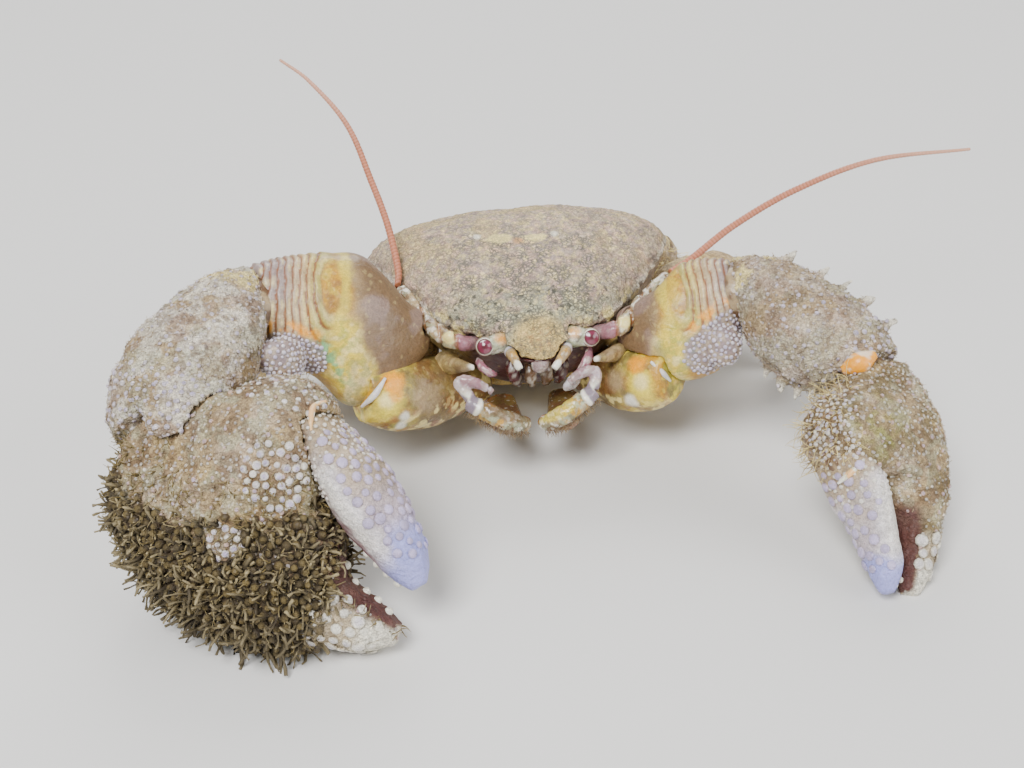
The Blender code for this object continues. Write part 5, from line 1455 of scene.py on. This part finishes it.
@dataclass
class ClawArm:
    """One claw arm: its places from the body out, the way its claw faces, and what grows on it."""

    side: str
    hand: int
    root: tuple
    hip: tuple
    shoulder: tuple
    bend: tuple
    elbow: tuple
    wrist: tuple
    finger_tip: tuple
    claw_face: tuple
    merus_girths: tuple
    merus_lobe: tuple
    carpus_girths: tuple
    carpus_lobe: tuple
    claw: ClawSize
    girth_scale: float
    claw_scale: float
    spines: tuple
    teeth: tuple
    swirl: tuple
    swirl_size: tuple
    cleft: tuple
    hinge: tuple
    membrane: tuple
    hip_patches: tuple
    clusters: tuple
    turfed: bool
    voxel: float = 0.095
    fine: float = 0.8
    finest: float = 0.78

    def __post_init__(self) -> None:
        """Lays out the arm's limbs from joint to joint."""
        joints = [np.array(p) for p in (self.root, self.hip, self.elbow, self.wrist, self.finger_tip)]
        ways = joint_normals(joints)
        arm = {"face": FRONT_ABOVE, "hand": self.hand}
        self.ischium = Limb((self.root, self.hip), girths=ISCHIUM, scale=self.girth_scale, **arm)
        self.merus = Limb((self.shoulder, self.bend, joints[2] - ways[2] * 0.15), girths=self.merus_girths,
                          end_normal=ways[2], **arm)
        self.carpus = Limb(between(joints, ways, 2, 0.3), girths=self.carpus_girths, scale=self.girth_scale,
                           start_normal=ways[2], end_normal=ways[3], **arm)
        self.along = unit(joints[4] - joints[3])
        look = np.array(self.claw_face)
        self.look = unit(look - self.along * (look @ self.along))
        self.upper = -self.hand * np.cross(self.look, self.along)
        size, claw = self.claw, {"face": tuple(self.look), "hand": -self.hand, "scale": self.claw_scale}
        self.palm = Limb((joints[3] + ways[3] * 0.15, self.spot(size.palm_length, 0)), girths=size.palm_girths,
                         start_normal=ways[3], end_normal=self.along, power=2.4, **claw)
        self.thumb = Limb(tuple(self.spot(*s) for s in size.thumb), girths=size.thumb_girths, **claw)
        self.finger = Limb(tuple(self.spot(*s) for s in size.finger), girths=size.finger_girths, **claw)

    def spot(self, distance: float, height: float) -> Array:
        """A place on the claw, by how far it lies along it and above its middle."""
        return np.array(self.wrist) + (self.along * distance + self.upper * height) * self.claw_scale

    def claw_place(self, points: Array) -> tuple[Array, Array, Array]:
        """How far points lie along, up and out of the claw's middle, in the claw's own millimetres."""
        away = (points - np.array(self.wrist)) / self.claw_scale
        return away @ self.along, away @ self.upper, away @ self.look

    def build(self, maker: Maker, feelers: HeadSide) -> None:
        """Makes the arm from the body out."""
        self.build_ischium(maker)
        self.build_merus(maker, feelers)
        self.build_carpus(maker)
        self.build_palm(maker)
        self.build_finger(maker)
        self.build_joints(maker)

    def lobe(self, path: tuple, breadth: float) -> Clay:
        """A rounded lobe of shell standing on an arm piece."""
        girths = tuple(Girth(g.at, g.upper * breadth, g.lower * breadth, g.face, g.back) for g in LOBE)
        return Limb(path, FRONT_ABOVE, girths).solid()

    def build_ischium(self, maker: Maker) -> None:
        """The smooth lobe next to the body: yellow and moss with cream and amber patches."""
        skin = Workshop.moulded([self.ischium.solid()], [], self.voxel * self.fine, 5)
        p = skin.points
        skin.push(0.10 * cloud(p, 1.6, 61) + 0.02 * cloud(p, 0.4, 67))
        skin.colour(Tint.HONEY, 1.0, 0.5)
        skin.colour(Tint.MOSS, 0.7 * blots(p, 1.3, 62, -0.05, 0.25))
        skin.colour(Tint.OLIVE, 0.65 * blots(p, 1.0, 32, -0.05, 0.25))
        skin.colour(Tint.STRAW, 0.7 * blots(p, 0.8, 63, 0.05, 0.25))
        # Painted shade: umber darkens the ischium towards the body, where it lies under the carapace.
        skin.colour(Tint.UMBER, 0.85 * ease(np.abs(p[:, 0]), abs(self.hip[0]) - 1.6, abs(self.hip[0]) - 3.2))
        skin.colour(Tint.CREAM, 0.8 * blots(p, 0.6, 64, 0.08, 0.26) * ease(p[:, 2], -2.4, -3.2), 0.8)
        skin.colour(Tint.RUST, 0.5 * blots(p, 0.7, 65, 0.14, 0.3) * ease(p[:, 2], -1.6, -2.6))
        for patch in self.hip_patches:
            patch.lay(skin)
        maker.cover(skin, f"claw_ischium_{self.side}", SMOOTH, "smooth_shell")

    def build_merus(self, maker: Maker, feelers: HeadSide) -> None:
        """The broad second segment: smooth, with curved ridges round an oval and a grainy lobe."""
        rooms = [body_solid(0.10), self.ischium.solid(0.08, 0.1), self.carpus.solid(JOINT_GAP, JOINT_GAP),
                 self.palm.solid(JOINT_GAP, JOINT_GAP), feelers.base.solid(0.1, 0.1), feelers.whip.solid(0.1)]
        shells = [self.merus.solid(), self.lobe(self.merus_lobe, 0.8)]
        skin = Workshop.moulded(shells, rooms, self.voxel * self.finest, 4)
        p = skin.points
        way = unit(np.array(self.elbow) - np.array(self.shoulder))
        rise = unit(np.cross(np.array(FRONT_ABOVE), way)) * self.hand
        away = p - np.array(self.swirl)
        u, v, deep = away @ way, away @ rise, away @ np.cross(rise, way) * self.hand
        lobe = near_line(p, self.merus_lobe[0], self.merus_lobe[-1], 1.5)
        ring = np.hypot(u / self.swirl_size[0], v / self.swirl_size[1]) + 0.22 * cloud(p, 1.4, 71)
        band = ease(u, -0.5, 0.35) * ease(ring, 0.85, 1.15) * ease(np.abs(v - 0.2), 3.9, 2.5) * (1 - lobe)
        band *= ease(deep, -3.2, -1.6)
        phase = (ring - 1.0) * self.swirl_size[0] / 0.34
        saw = phase - np.floor(phase)
        groove = ease(np.abs(saw - 0.9), 0.26, 0.06)
        skin.push(band * (0.10 * np.sin(saw * math.pi * 0.9) - 0.08 * groove) + 0.06 * cloud(p, 2.2, 72))
        low = ease(v, -0.9, -1.9) * ease(np.abs(u + 0.97 - 0.54 * (v + 2.7)) + 0.4 * cloud(p, 1.0, 41), 1.5, 0.8)
        skin.colour(Tint.HONEY, 1.0, 0.5)
        skin.colour(Tint.STRAW, 0.8 * low)
        skin.colour(Tint.CREAM, 0.8 * low * blots(p, 0.7, 75, -0.15, 0.2), 0.25)
        skin.colour(Tint.MOSS, 0.5 * low * blots(p, 0.5, 74, 0.05, 0.3))
        skin.colour(Tint.OLIVE, 0.35 * blots(p, 1.2, 33, -0.1, 0.25) * (1 - low))
        # Painted shade: bark and umber darken the merus towards its body end, where it lies in shadow beside the
        # carapace.
        skin.colour(Tint.BARK, 0.9 * ease(u - 0.25 * v + 0.4 * cloud(p, 1.5, 78), -0.6, -1.3) * (1 - 0.8 * low))
        skin.colour(Tint.UMBER, 0.85 * ease(u - 0.2 * v + 0.4 * cloud(p, 1.2, 34), -0.5, -2.0) * (1 - 0.8 * low))
        skin.colour(Tint.PLUM, 0.35 * blots(p, 1.8, 79, 0.0, 0.3) * ease(u, -1.0, -1.8))
        rim = np.abs(u + 0.66 + 0.06 * v + 0.25 * cloud(p, 0.9, 35))
        skin.colour(Tint.STRAW, 0.7 * ease(rim, 0.5, 0.1) * ease(np.abs(v - 0.4), 2.6, 1.2))
        golden = ease(ring, 1.15, 0.8)
        skin.colour(Tint.HONEY, 0.95 * golden)
        skin.colour(Tint.UMBER, 0.4 * golden * blots(p, 0.7, 77, -0.05, 0.25))
        skin.colour(Tint.RUST, 0.35 * golden * blots(p, 0.4, 36, 0.0, 0.25))
        skin.colour(Tint.STRAW, 0.4 * golden * blots(p, 0.9, 80, 0.05, 0.25))
        skin.colour(Tint.SAND, band)
        skin.colour(Tint.MOSS, 0.55 * band * ease(u, 1.3, 0.5))
        skin.colour(Tint.DUST, 0.9 * band * ease(u, 0.8, 1.7))
        skin.colour(Tint.BARK, 0.6 * band * blots(p, 0.8, 25, -0.05, 0.25))
        skin.colour(Tint.SLATE, 0.7 * ease(u, 1.7, 2.3) * ease(v, -1.8, -0.4))
        skin.colour(Tint.CREAM, 0.8 * ease(u, 2.5, 2.9) * blots(p, 1.2, 27, -0.2, 0.1) * (1 - lobe))
        skin.colour(Tint.RUST, 0.95 * band * groove)
        skin.colour(Tint.MAROON, 0.45 * band * ease(np.abs(saw - 0.9), 0.13, 0.03))
        skin.colour(Tint.CREAM, 0.55 * band * ease(np.abs(saw - 0.25), 0.2, 0.05) * blots(p, 0.8, 70, -0.1, 0.2))
        edge = near_line(p, tuple(np.array(self.swirl) + way * 0.35 - rise * 2.9),
                         tuple(np.array(self.swirl) - way * 1.46 - rise * 5.0), 0.75)
        skin.colour(Tint.JADE, 0.85 * edge * blots(p, 0.4, 69, -0.2, 0.1))
        beyond = near_line(p, self.merus_lobe[0], self.merus_lobe[-1], 2.4)
        fringe = ease(np.abs(beyond - 0.5), 0.35, 0.12) * ease(v, -3.3, -2.5) * ease(u, -0.2, 0.6)
        skin.colour(Tint.AMBER, 0.7 * fringe * blots(p, 0.6, 28, -0.2, 0.1), 0.4)
        lobe = ease(lobe, 0.0, 0.35)
        skin.colour(Tint.SLATE, 0.85 * lobe, 0.2)
        skin.colour(Tint.DUST, 0.6 * lobe * blots(p, 0.6, 29, 0.0, 0.2))
        skin.join([LOBE_GRAINS.domes(skin, 0.95 * ease(lobe, 0.25, 0.6), 76 + self.hand)])
        maker.cover(skin, f"claw_merus_{self.side}", SMOOTH, "smooth_shell")

    def build_carpus(self, maker: Maker) -> None:
        """The broad grainy plate over the wrist, with its lobe, or its spines and teeth."""
        shells = [self.carpus.solid()]
        if self.carpus_lobe:
            shells.append(self.lobe(self.carpus_lobe, 1.7))
        shells += [self.spine(t, 0.0, 1.1, 0.34) for t in self.spines]
        shells += [self.spine(t, math.pi, 0.9, 0.34) for t in self.teeth]
        skin = Workshop.moulded(shells, [self.palm.solid(JOINT_GAP, JOINT_GAP)], self.voxel, 3)
        p = skin.points
        share, _, out = self.carpus.local(p)
        skin.push(0.09 * cloud(p, 1.3, 81) + 0.09 * cloud(p, 0.4, 82, 3))
        skin.colour(Tint.BARK, 1.0, 0.0)
        skin.colour(Tint.DUST, 0.9 * blots(p, 2.2, 83, -0.2, 0.15))
        skin.colour(Tint.PLUM, 0.35 * blots(p, 1.5, 90, 0.0, 0.25))
        skin.colour(Tint.IVORY, (0.65 if self.carpus_lobe else 0.25) * blots(p, 1.6, 84, -0.1, 0.2))
        skin.colour(Tint.SAGE, 0.4 * blots(p, 1.8, 85, 0.05, 0.3))
        skin.colour(Tint.UMBER, 0.45 * blots(p, 0.6, 86, 0.15, 0.35))
        skin.colour(Tint.CREAM, 0.8 * ease(share, 0.16, 0.04) * blots(p, 1.0, 68, -0.2, 0.1), 0.6)
        tips = self.spine_tips(p)
        skin.colour(Tint.IVORY, 0.8 * tips, 0.9)
        grainy = ease(out, -1.6, 0.0) * (1 - tips)
        edge = ease(share, 0.84, 0.97) * ease(out, -0.5, 0.8)
        if self.carpus_lobe:
            edge = np.clip(edge + near_line(p, self.carpus_lobe[1], self.carpus_lobe[2], 1.6), 0, 1)
        base = skin.copy()
        skin.join([
            FINE_GRAINS.domes(base, 0.7 * grainy * blots(p, 1.0, 87, -0.3, 0.15), 88),
            PLATE_GRAINS.domes(base, 0.5 * grainy * blots(p, 1.4, 100, 0.0, 0.2), 105),
            EDGE_GRAINS.domes(base, 0.7 * edge, 89)])
        maker.cover(skin, f"claw_carpus_{self.side}", GRAINY, "shell")
        self.grow_fuzz(maker, base, 0.5 * grainy, self.carpus, "carpus")

    def grow_fuzz(self, maker: Maker, base: Clay, where: Array, limb: Limb, name: str) -> None:
        """Short, thin, silty hairs over a grainy piece."""
        maker.place(FUZZ.grown(base, where, tuple(self.along), limb, 113),
                    f"claw_{name}_{self.side}_fuzz", BRISTLE, "shell")

    def spine_root(self, t: float, angle: float) -> tuple[Array, Array]:
        """Where a spine stands on the plate, and the way that it points."""
        foot = self.carpus.skin(np.array([t]), np.array([angle]))[0]
        middle, along = (row[0] for row in self.carpus.frame(t)[:2])
        return foot, unit(unit(foot - middle) + along * 0.45)

    def spine(self, t: float, angle: float, length: float, radius: float) -> Clay:
        """A sharp cone leaning towards the wrist, sunk into the plate."""
        foot, way = self.spine_root(t, angle)
        return Limb((foot - way * length * 0.4, foot + way * length * 0.78), tuple(np.roll(way, 1)),
                    (even(0.0, radius, radius), even(0.5, radius * 0.72, radius * 0.72), even(1.0, 0.09, 0.09))).solid()

    def spine_tips(self, points: Array) -> Array:
        """Which points lie on the plate's spines and teeth."""
        total = np.zeros(len(points))
        for t, angle in [(t, 0.0) for t in self.spines] + [(t, math.pi) for t in self.teeth]:
            foot, way = self.spine_root(t, angle)
            total += near(points, tuple(foot + way * 0.75), 0.75)
        return np.clip(total, 0, 1)

    def build_palm(self, maker: Maker) -> None:
        """The hand and its fixed thumb: grainy above, cobbled at the thumb's tip, with turf below if it has any."""
        room = self.finger.solid(JOINT_GAP, JOINT_GAP)
        skin = Workshop.halved(
            Workshop.moulded([self.palm.solid(), self.thumb.solid()], [room], self.voxel, 5), (0, 0, FLOOR), (0, 0, -1))
        p = skin.points
        along, _, out = self.claw_place(p)
        inner = ease(along, 8.6, 9.8) * ease(skin.normals() @ self.upper, 0.25, 0.7)
        tip = ease(along, 10.6, 11.6) * (1 - inner)
        lift = ease(p[:, 2], FLOOR + 0.1, FLOOR + 0.9)
        skin.push((0.12 * cloud(p, 1.7, 91) + 0.08 * cloud(p, 0.45, 92, 3)) * lift)
        faced = ease(out, -0.8, 0.6) * (1 - inner)
        clumps = [near(p, cluster.spot, cluster.reach, 0.6) for cluster in self.clusters]
        clear = np.clip(sum(clumps), 0, 1)
        turf = ease(p[:, 2] + 0.5 * cloud(p, 1.6, 107), -0.5, -1.5) * ease(along, 11.4, 10.2) * (1 - inner)
        turf = np.clip(turf, 0, 1) * (1 - ease(clear, 0.0, 0.5)) * self.turfed
        skin.colour(Tint.BARK, 1.0, 0.0)
        skin.colour(Tint.DUST, 0.8 * blots(p, 2.4, 93, -0.1, 0.2))
        skin.colour(Tint.SAND, 0.25 * blots(p, 1.9, 106, 0.0, 0.25))
        skin.colour(Tint.SAGE, 0.5 * blots(p, 1.1, 40, 0.0, 0.25))
        skin.colour(Tint.UMBER, 0.6 * blots(p, 0.9, 94, 0.05, 0.3))
        if not self.turfed:
            skin.colour(Tint.OLIVE, 0.65 * blots(p, 1.5, 108, -0.2, 0.2))
            skin.colour(Tint.MOSS, 0.4 * near(p, (14.6, -10.0, -0.4), 2.2) * blots(p, 0.7, 37, -0.2, 0.2))
        skin.colour(Tint.UMBER, 0.5 * clear)
        # Painted shade: the skin is darkened where the turf covers it.
        skin.colour(Tint.TURF_SHADOW, 0.85 * turf)
        skin.colour(Tint.IVORY, 0.9 * tip, 0.6)
        skin.colour(Tint.BARK, 0.8 * tip * ease(along + 0.5 * cloud(p, 1.0, 38), 13.2, 12.0))
        # The gape's own dark wine colour, darkened further as painted shade inside the gape.
        skin.colour(Tint.MAROON, 0.9 * inner, 1.0)
        base = skin.copy()
        broad = faced * (1 - ease(turf, 0.1, 0.5)) * (1 - tip)
        skin.join([
            HAND_GRAINS.domes(base, 0.6 * broad * blots(p, 1.6, 95, -0.3, 0.1), 96),
            SPARSE_GRAINS.domes(base, 0.45 * broad, 109),
            # Dark clods: painted shade in the hollows of the turf.
            TURF_CLODS.domes(base, 0.5 * turf * lift, 120),
            THUMB_COBBLES.domes(base, tip * ease(out, -1.5, -0.6) * ease(along, 13.6, 12.8), 98)])
        for place, (cluster, share) in enumerate(zip(self.clusters, clumps)):
            kind = Grains(cluster.spacing, cluster.radius, cluster.radius * 0.8, Tint.LILAC, Tint.IVORY, 9)
            skin.join([kind.domes(base, share * (1 - inner), 97 + place)])
        self.add_teeth(skin, self.thumb, 0.0)
        maker.cover(skin, f"claw_palm_{self.side}", GRAINY, "shell")
        self.grow_turf(maker, base, turf * lift, broad)

    def grow_turf(self, maker: Maker, base: Clay, turf: Array, bare: Array) -> None:
        """Ragged curling turf over the lower part of the claw, or bristles along its edge."""
        lie = unit(self.along * 0.5 + np.array((0, -0.2, -0.8)))
        if self.turfed:
            low = base.points[:, 2] < -3.0
            for name, kind, where in (("low", TURF, turf * low), ("high", replace(TURF, length=1.0), turf * ~low)):
                grown = kind.grown(base, 0.85 * where, tuple(lie), self.palm, 99)
                # Painted shade: the turf darkens towards the floor.
                grown.colour(Tint.TURF_SHADOW, 0.5 * ease(grown.points[:, 2], -2.6, -6.2))
                maker.place(grown, f"claw_palm_{self.side}_turf_{name}", BRISTLE, "shell")
            higher = 0.45 * bare * ease(base.points[:, 2] + cloud(base.points, 1.2, 42), 1.0, -0.6)
            maker.place(THIN_TURF.grown(base, np.maximum(0.7 * turf, higher), tuple(lie), self.palm, 110),
                        f"claw_palm_{self.side}_turf_thin", BRISTLE, "shell")
        else:
            up, out = self.claw_place(base.points)[1:]
            edge = ease(up, 2.0, 3.6) * ease(np.abs(out), 2.4, 1.2)
            maker.place(CLAW_HAIRS.grown(base, 0.5 * edge, tuple(lie), self.palm, 99),
                        f"claw_palm_{self.side}_hairs", BRISTLE, "shell")
        self.grow_fuzz(maker, base, 0.55 * bare, self.palm, "palm")

    def add_teeth(self, skin: Clay, limb: Limb, angle: float) -> None:
        """Blunt pale teeth along the edge that closes on the other finger."""
        made = []
        for t in np.linspace(0.62, 0.93, 5):
            foot = limb.skin(np.array([t]), np.array([angle]))[0]
            tooth = ball(foot, 0.20 * self.claw_scale)
            tooth.colour(Tint.IVORY, 1.0, 1.0)
            made.append(tooth)
        skin.join(made)

    def build_finger(self, maker: Maker) -> None:
        """The moving finger: pale lilac with soft tubercles outside and a smooth blue tip."""
        skin = Workshop.moulded([self.finger.solid()], [], self.voxel * self.fine, 5)
        p = skin.points
        share, up, out = self.finger.local(p)
        skin.push(0.06 * cloud(p, 1.2, 101) + 0.05 * cloud(p, 0.4, 114) * ease(share, 0.4, 0.15))
        outer = ease(up + 0.25 * cloud(p, 1.0, 115), -0.1, 0.5)
        skin.colour(Tint.MIST, 1.0, 0.25)
        skin.colour(Tint.SLATE, 0.35 * blots(p, 1.0, 102, -0.05, 0.3))
        skin.colour(Tint.BARK, 0.85 * ease(share + 0.1 * cloud(p, 1.0, 116), 0.30, 0.12), 0.0)
        skin.colour(Tint.UMBER, 0.5 * ease(share, 0.16, 0.04))
        skin.colour(Tint.BARK, 0.8 * outer * ease(share, 0.86, 0.66))
        skin.colour(Tint.LILAC, 0.5 * outer * ease(share, 0.35, 0.65))
        skin.colour(Tint.PERIWINKLE, 0.95 * ease(share + 0.12 * outer, 0.74, 0.90), 0.9)
        skin.colour(Tint.IVORY, 0.5 * ease(up, 0.2, -0.6) * ease(np.abs(share - 0.5), 0.3, 0.15))
        skin.colour(Tint.WINE, 0.9 * ease(skin.normals() @ -self.upper, 0.75, 0.95) * ease(share, 0.9, 0.7), 1.0)
        base = skin.copy()
        spread = outer * ease(share, 0.88, 0.76) * ease(share, 0.08, 0.2) * ease(out, -1.6, -0.6)
        skin.join([
            FINGER_KNOBS.domes(base, spread, 103),
            FINGER_GRAINS.domes(
                base, 0.8 * ease(share, 0.40, 0.22) * ease(out, -1.0, 0.2) * (1 - 0.7 * spread), 104)])
        self.add_teeth(skin, self.finger, math.pi)
        maker.cover(skin, f"claw_finger_{self.side}", FINGER, "shell")

    def build_joints(self, maker: Maker) -> None:
        """Soft skin inside the elbow, the wrist and the finger's hinge, painted dark as shade in the joint gaps, and
        the pale line by the hip.
        """
        scale = self.girth_scale
        soft = Clay.empty()
        for spot, size in ((self.elbow, 1.75 * scale), (self.wrist, 1.55 * self.claw_scale),
                           (self.spot(6.6, 2.9), 1.1 * self.claw_scale)):
            soft.join([ball(np.array(spot), size)])
        # Painted shade: the soft skin in the joints is dark umber, so the joint gaps read as shadowed creases.
        soft.colour(Tint.UMBER, 1.0, 0.0)
        soft.colour(Tint.BARK, 0.9 * blots(soft.points, 0.8, 111, -0.1, 0.2))
        lines = [(self.hinge, 0.15, Tint.IVORY), (self.cleft, 0.17, Tint.MIST)]
        if self.membrane:
            lines.append((self.membrane, 0.55, Tint.AMBER))
        for path, wide, tint in lines:
            girths = (even(0, wide * 0.4, wide * 0.4), even(0.5, wide, wide), even(1, wide * 0.4, wide * 0.4))
            line = tube(Limb(path, self.claw_face, girths, power=2.0).rings(24, 20))
            line.colour(tint, 1.0, 1.0)
            other = Tint.AMBER if tint == Tint.IVORY else Tint.IVORY
            line.colour(other, 0.7 * blots(line.points, 0.6, 112, 0.05, 0.25))
            soft.join([line])
        maker.place(soft, f"claw_joints_{self.side}", SOFT, "smooth_shell")


ARMS = (
    ClawArm(
        side="right", hand=-1, root=(-2.9, 2.8, -3.9), hip=(-9.2, -0.85, -1.8), shoulder=(-5.6, 2.2, -0.15),
        bend=(-9.4, 1.4, 0.95), elbow=(-14.2, 0.9, 2.6), wrist=(-17.6, -6.3, 0.8), finger_tip=(-7.0, -13.6, -4.3),
        claw_face=(-0.22, -0.76, 0.61), merus_girths=BIG_MERUS,
        merus_lobe=((-11.9, -1.2, 0.6), (-13.0, -2.1, 1.4), (-14.0, -2.2, 1.9)), carpus_girths=BIG_CARPUS,
        carpus_lobe=((-16.3, -3.4, 3.0), (-17.0, -6.2, 2.7), (-17.5, -8.6, 1.8)), claw=BIG_CLAW,
        girth_scale=1.0, claw_scale=1.0, spines=(), teeth=(), swirl=(-10.12, 0.32, 3.73), swirl_size=(0.55, 1.35),
        cleft=((-7.85, -1.35, -0.70), (-8.5, -1.80, -1.40), (-9.2, -1.58, -2.15)),
        hinge=((-10.45, -8.55, 2.75), (-10.95, -8.90, 2.80), (-11.1, -9.6, 2.70), (-11.15, -10.2, 2.35)),
        membrane=(),
        hip_patches=(
            Patch(Tint.STRAW, (-7.9, -1.75, -2.0), 1.1), Patch(Tint.CREAM, (-7.9, -1.75, -1.8), 0.6),
            Patch(Tint.AMBER, (-7.5, -1.15, -1.05), 0.85), Patch(Tint.AMBER, (-7.45, -1.55, -1.7), 0.5, 0.7),
            Patch(Tint.STRAW, (-8.6, -1.6, -2.7), 0.8, 0.7),
            Patch(Tint.RUST, (-7.6, -1.8, -2.9), 0.42, 0.8), Patch(Tint.IVORY, (-7.05, -1.7, -2.85), 0.42),
            # The bark patch nearest the body is painted shade.
            Patch(Tint.IVORY, (-7.3, -1.7, -3.4), 0.45), Patch(Tint.BARK, (-5.9, -0.9, -2.4), 1.2, 0.8)),
        clusters=(
            Cluster((-12.9, -11.4, 0.9), 1.65, 0.20, 0.37), Cluster((-15.2, -12.9, -1.2), 1.0, 0.175, 0.33),
            Cluster((-13.3, -7.8, 3.1), 1.3, 0.15, 0.50), Cluster((-11.6, -8.7, 2.8), 1.2, 0.15, 0.50)),
        turfed=True),
    ClawArm(
        side="left", hand=1, root=(2.9, 2.8, -3.9), hip=(6.8, -1.55, -1.9), shoulder=(4.7, 1.6, -0.55),
        bend=(7.9, 0.1, 0.4), elbow=(10.4, 0.1, 1.5), wrist=(15.4, -5.4, -0.4), finger_tip=(14.15, -14.6, -6.35),
        claw_face=(0.50, -0.50, 0.70), merus_girths=SMALL_MERUS,
        merus_lobe=((8.4, -1.9, -0.45), (9.2, -2.2, 0.15), (9.9, -2.0, 0.6)), carpus_girths=SMALL_CARPUS,
        carpus_lobe=(), claw=SMALL_CLAW, girth_scale=0.92, claw_scale=0.76,
        spines=(0.22, 0.38, 0.54, 0.70, 0.85), teeth=(0.45, 0.6, 0.75, 0.9), swirl=(7.0, -0.7, 2.4),
        swirl_size=(0.45, 1.2), cleft=((5.6, -1.62, -0.95), (6.1, -1.92, -1.45), (6.6, -1.82, -2.1)),
        hinge=((13.5, -11.2, -1.5), (13.0, -11.3, -1.9), (12.5, -11.2, -2.5)),
        membrane=((13.9, -6.5, 0.6), (14.7, -6.5, 0.95), (15.5, -6.3, 1.25)),
        hip_patches=(
            Patch(Tint.STRAW, (5.0, -1.9, -2.2), 1.1), Patch(Tint.CREAM, (5.0, -1.9, -2.0), 0.6),
            Patch(Tint.AMBER, (4.9, -1.2, -1.2), 0.8), Patch(Tint.STRAW, (5.6, -1.9, -2.9), 0.8, 0.7),
            Patch(Tint.IVORY, (4.6, -1.7, -3.3), 0.6),
            # The bark patch nearest the body is painted shade.
            Patch(Tint.BARK, (3.7, -0.9, -2.4), 1.0, 0.8)),
        clusters=(
            Cluster((12.5, -8.8, -0.3), 1.6, 0.115, 0.25), Cluster((12.5, -10.3, -1.0), 1.3, 0.115, 0.25)),
        turfed=False, voxel=0.105),
)


@dataclass(frozen=True)
class Lamp:
    """A square soft light: where it hangs in metres, its side and its power."""

    name: str
    place: tuple
    size: float
    power: float

    def hang(self, target: Vector) -> None:
        """Makes the light and aims it at a target."""
        lamp = bpy.data.lights.new(self.name, "AREA")
        lamp.size, lamp.energy = self.size, self.power
        made = bpy.data.objects.new(self.name, lamp)
        made.location = Vector(self.place)
        made.rotation_euler = (target - made.location).to_track_quat("-Z", "Y").to_euler()
        bpy.context.scene.collection.objects.link(made)


@dataclass
class Studio:
    """The camera at the photograph's angle, a pale floor and soft lights."""

    turn: float = -5.0
    rise: float = 32.0
    roll: float = 2.4
    distance: float = 72.0
    focus: float = 1407.0
    width: int = 1024
    eyes_at: tuple = (537.0, 339.0)
    picture_middle: tuple = (512.0, 384.0)
    target: tuple = (0.0, 0.0, 0.006)
    lamps: tuple = (Lamp("key", (-0.10, -0.16, 0.26), 0.14, 1.45), Lamp("fill", (0.24, -0.16, 0.14), 0.22, 0.6),
                    Lamp("back", (0.02, 0.24, 0.20), 0.20, 0.65))
    floor_half: float = 1.5

    def build(self, origin: Array) -> None:
        """Makes the camera, the floor and the lights.

        Args:
            origin: the point midway between the eyes, in millimetres.
        """
        a, e, r = (math.radians(value) for value in (self.turn, self.rise, self.roll))
        back = Vector((math.sin(a) * math.cos(e), -math.cos(a) * math.cos(e), math.sin(e)))
        level = Vector((math.cos(a), math.sin(a), 0))
        upright = level.cross(-back)
        right = level * math.cos(r) - upright * math.sin(r)
        up = upright * math.cos(r) + level * math.sin(r)
        aside = (self.eyes_at[0] - self.picture_middle[0]) / self.focus * self.distance
        above = -(self.eyes_at[1] - self.picture_middle[1]) / self.focus * self.distance
        camera = bpy.data.objects.new("camera", bpy.data.cameras.new("camera"))
        camera.data.sensor_width = SENSOR
        camera.data.lens = self.focus / self.width * SENSOR
        camera.data.clip_start, camera.data.clip_end = 0.001, 10.0
        place = Matrix((right, up, back)).transposed().to_4x4()
        place.translation = (Vector(origin) - right * aside - up * above + back * self.distance) * MM
        camera.matrix_world = place
        bpy.context.scene.collection.objects.link(camera)
        bpy.context.scene.camera = camera
        self.build_floor()
        for lamp in self.lamps:
            lamp.hang(Vector(self.target))
        world = bpy.data.worlds.new("soft_room")
        world.use_nodes = True
        world.node_tree.nodes["Background"].inputs["Color"].default_value = (0.92, 0.94, 0.97, 1.0)
        world.node_tree.nodes["Background"].inputs["Strength"].default_value = 0.36
        bpy.context.scene.world = world

    def build_floor(self) -> None:
        """A wide, plain, pale floor at z = 0."""
        mesh = bpy.data.meshes.new("floor")
        half = self.floor_half
        mesh.from_pydata([(-half, -half, 0), (half, -half, 0), (half, half, 0), (-half, half, 0)], [], [(0, 1, 2, 3)])
        floor = bpy.data.objects.new("floor", mesh)
        material = bpy.data.materials.new("floor")
        material.use_nodes = True
        material.node_tree.nodes["Principled BSDF"].inputs["Base Color"].default_value = (0.74, 0.73, 0.71, 1.0)
        material.node_tree.nodes["Principled BSDF"].inputs["Roughness"].default_value = 0.85
        mesh.materials.append(material)
        bpy.context.scene.collection.objects.link(floor)


def main() -> None:
    """Builds the studio and every part of the crab."""
    logging.basicConfig(level=logging.INFO, format="%(name)s %(message)s")
    maker = Maker()
    Studio().build(maker.origin)
    Trunk().build(maker, HEAD_SIDES)
    for side in HEAD_SIDES:
        side.build(maker)
    for arm, side in zip(ARMS, HEAD_SIDES):
        arm.build(maker, side)
    Legs().build(maker)
    Tail().build(maker)
    LOG.info("%d triangles in all", maker.faces)


if __name__ == "__main__":
    main()
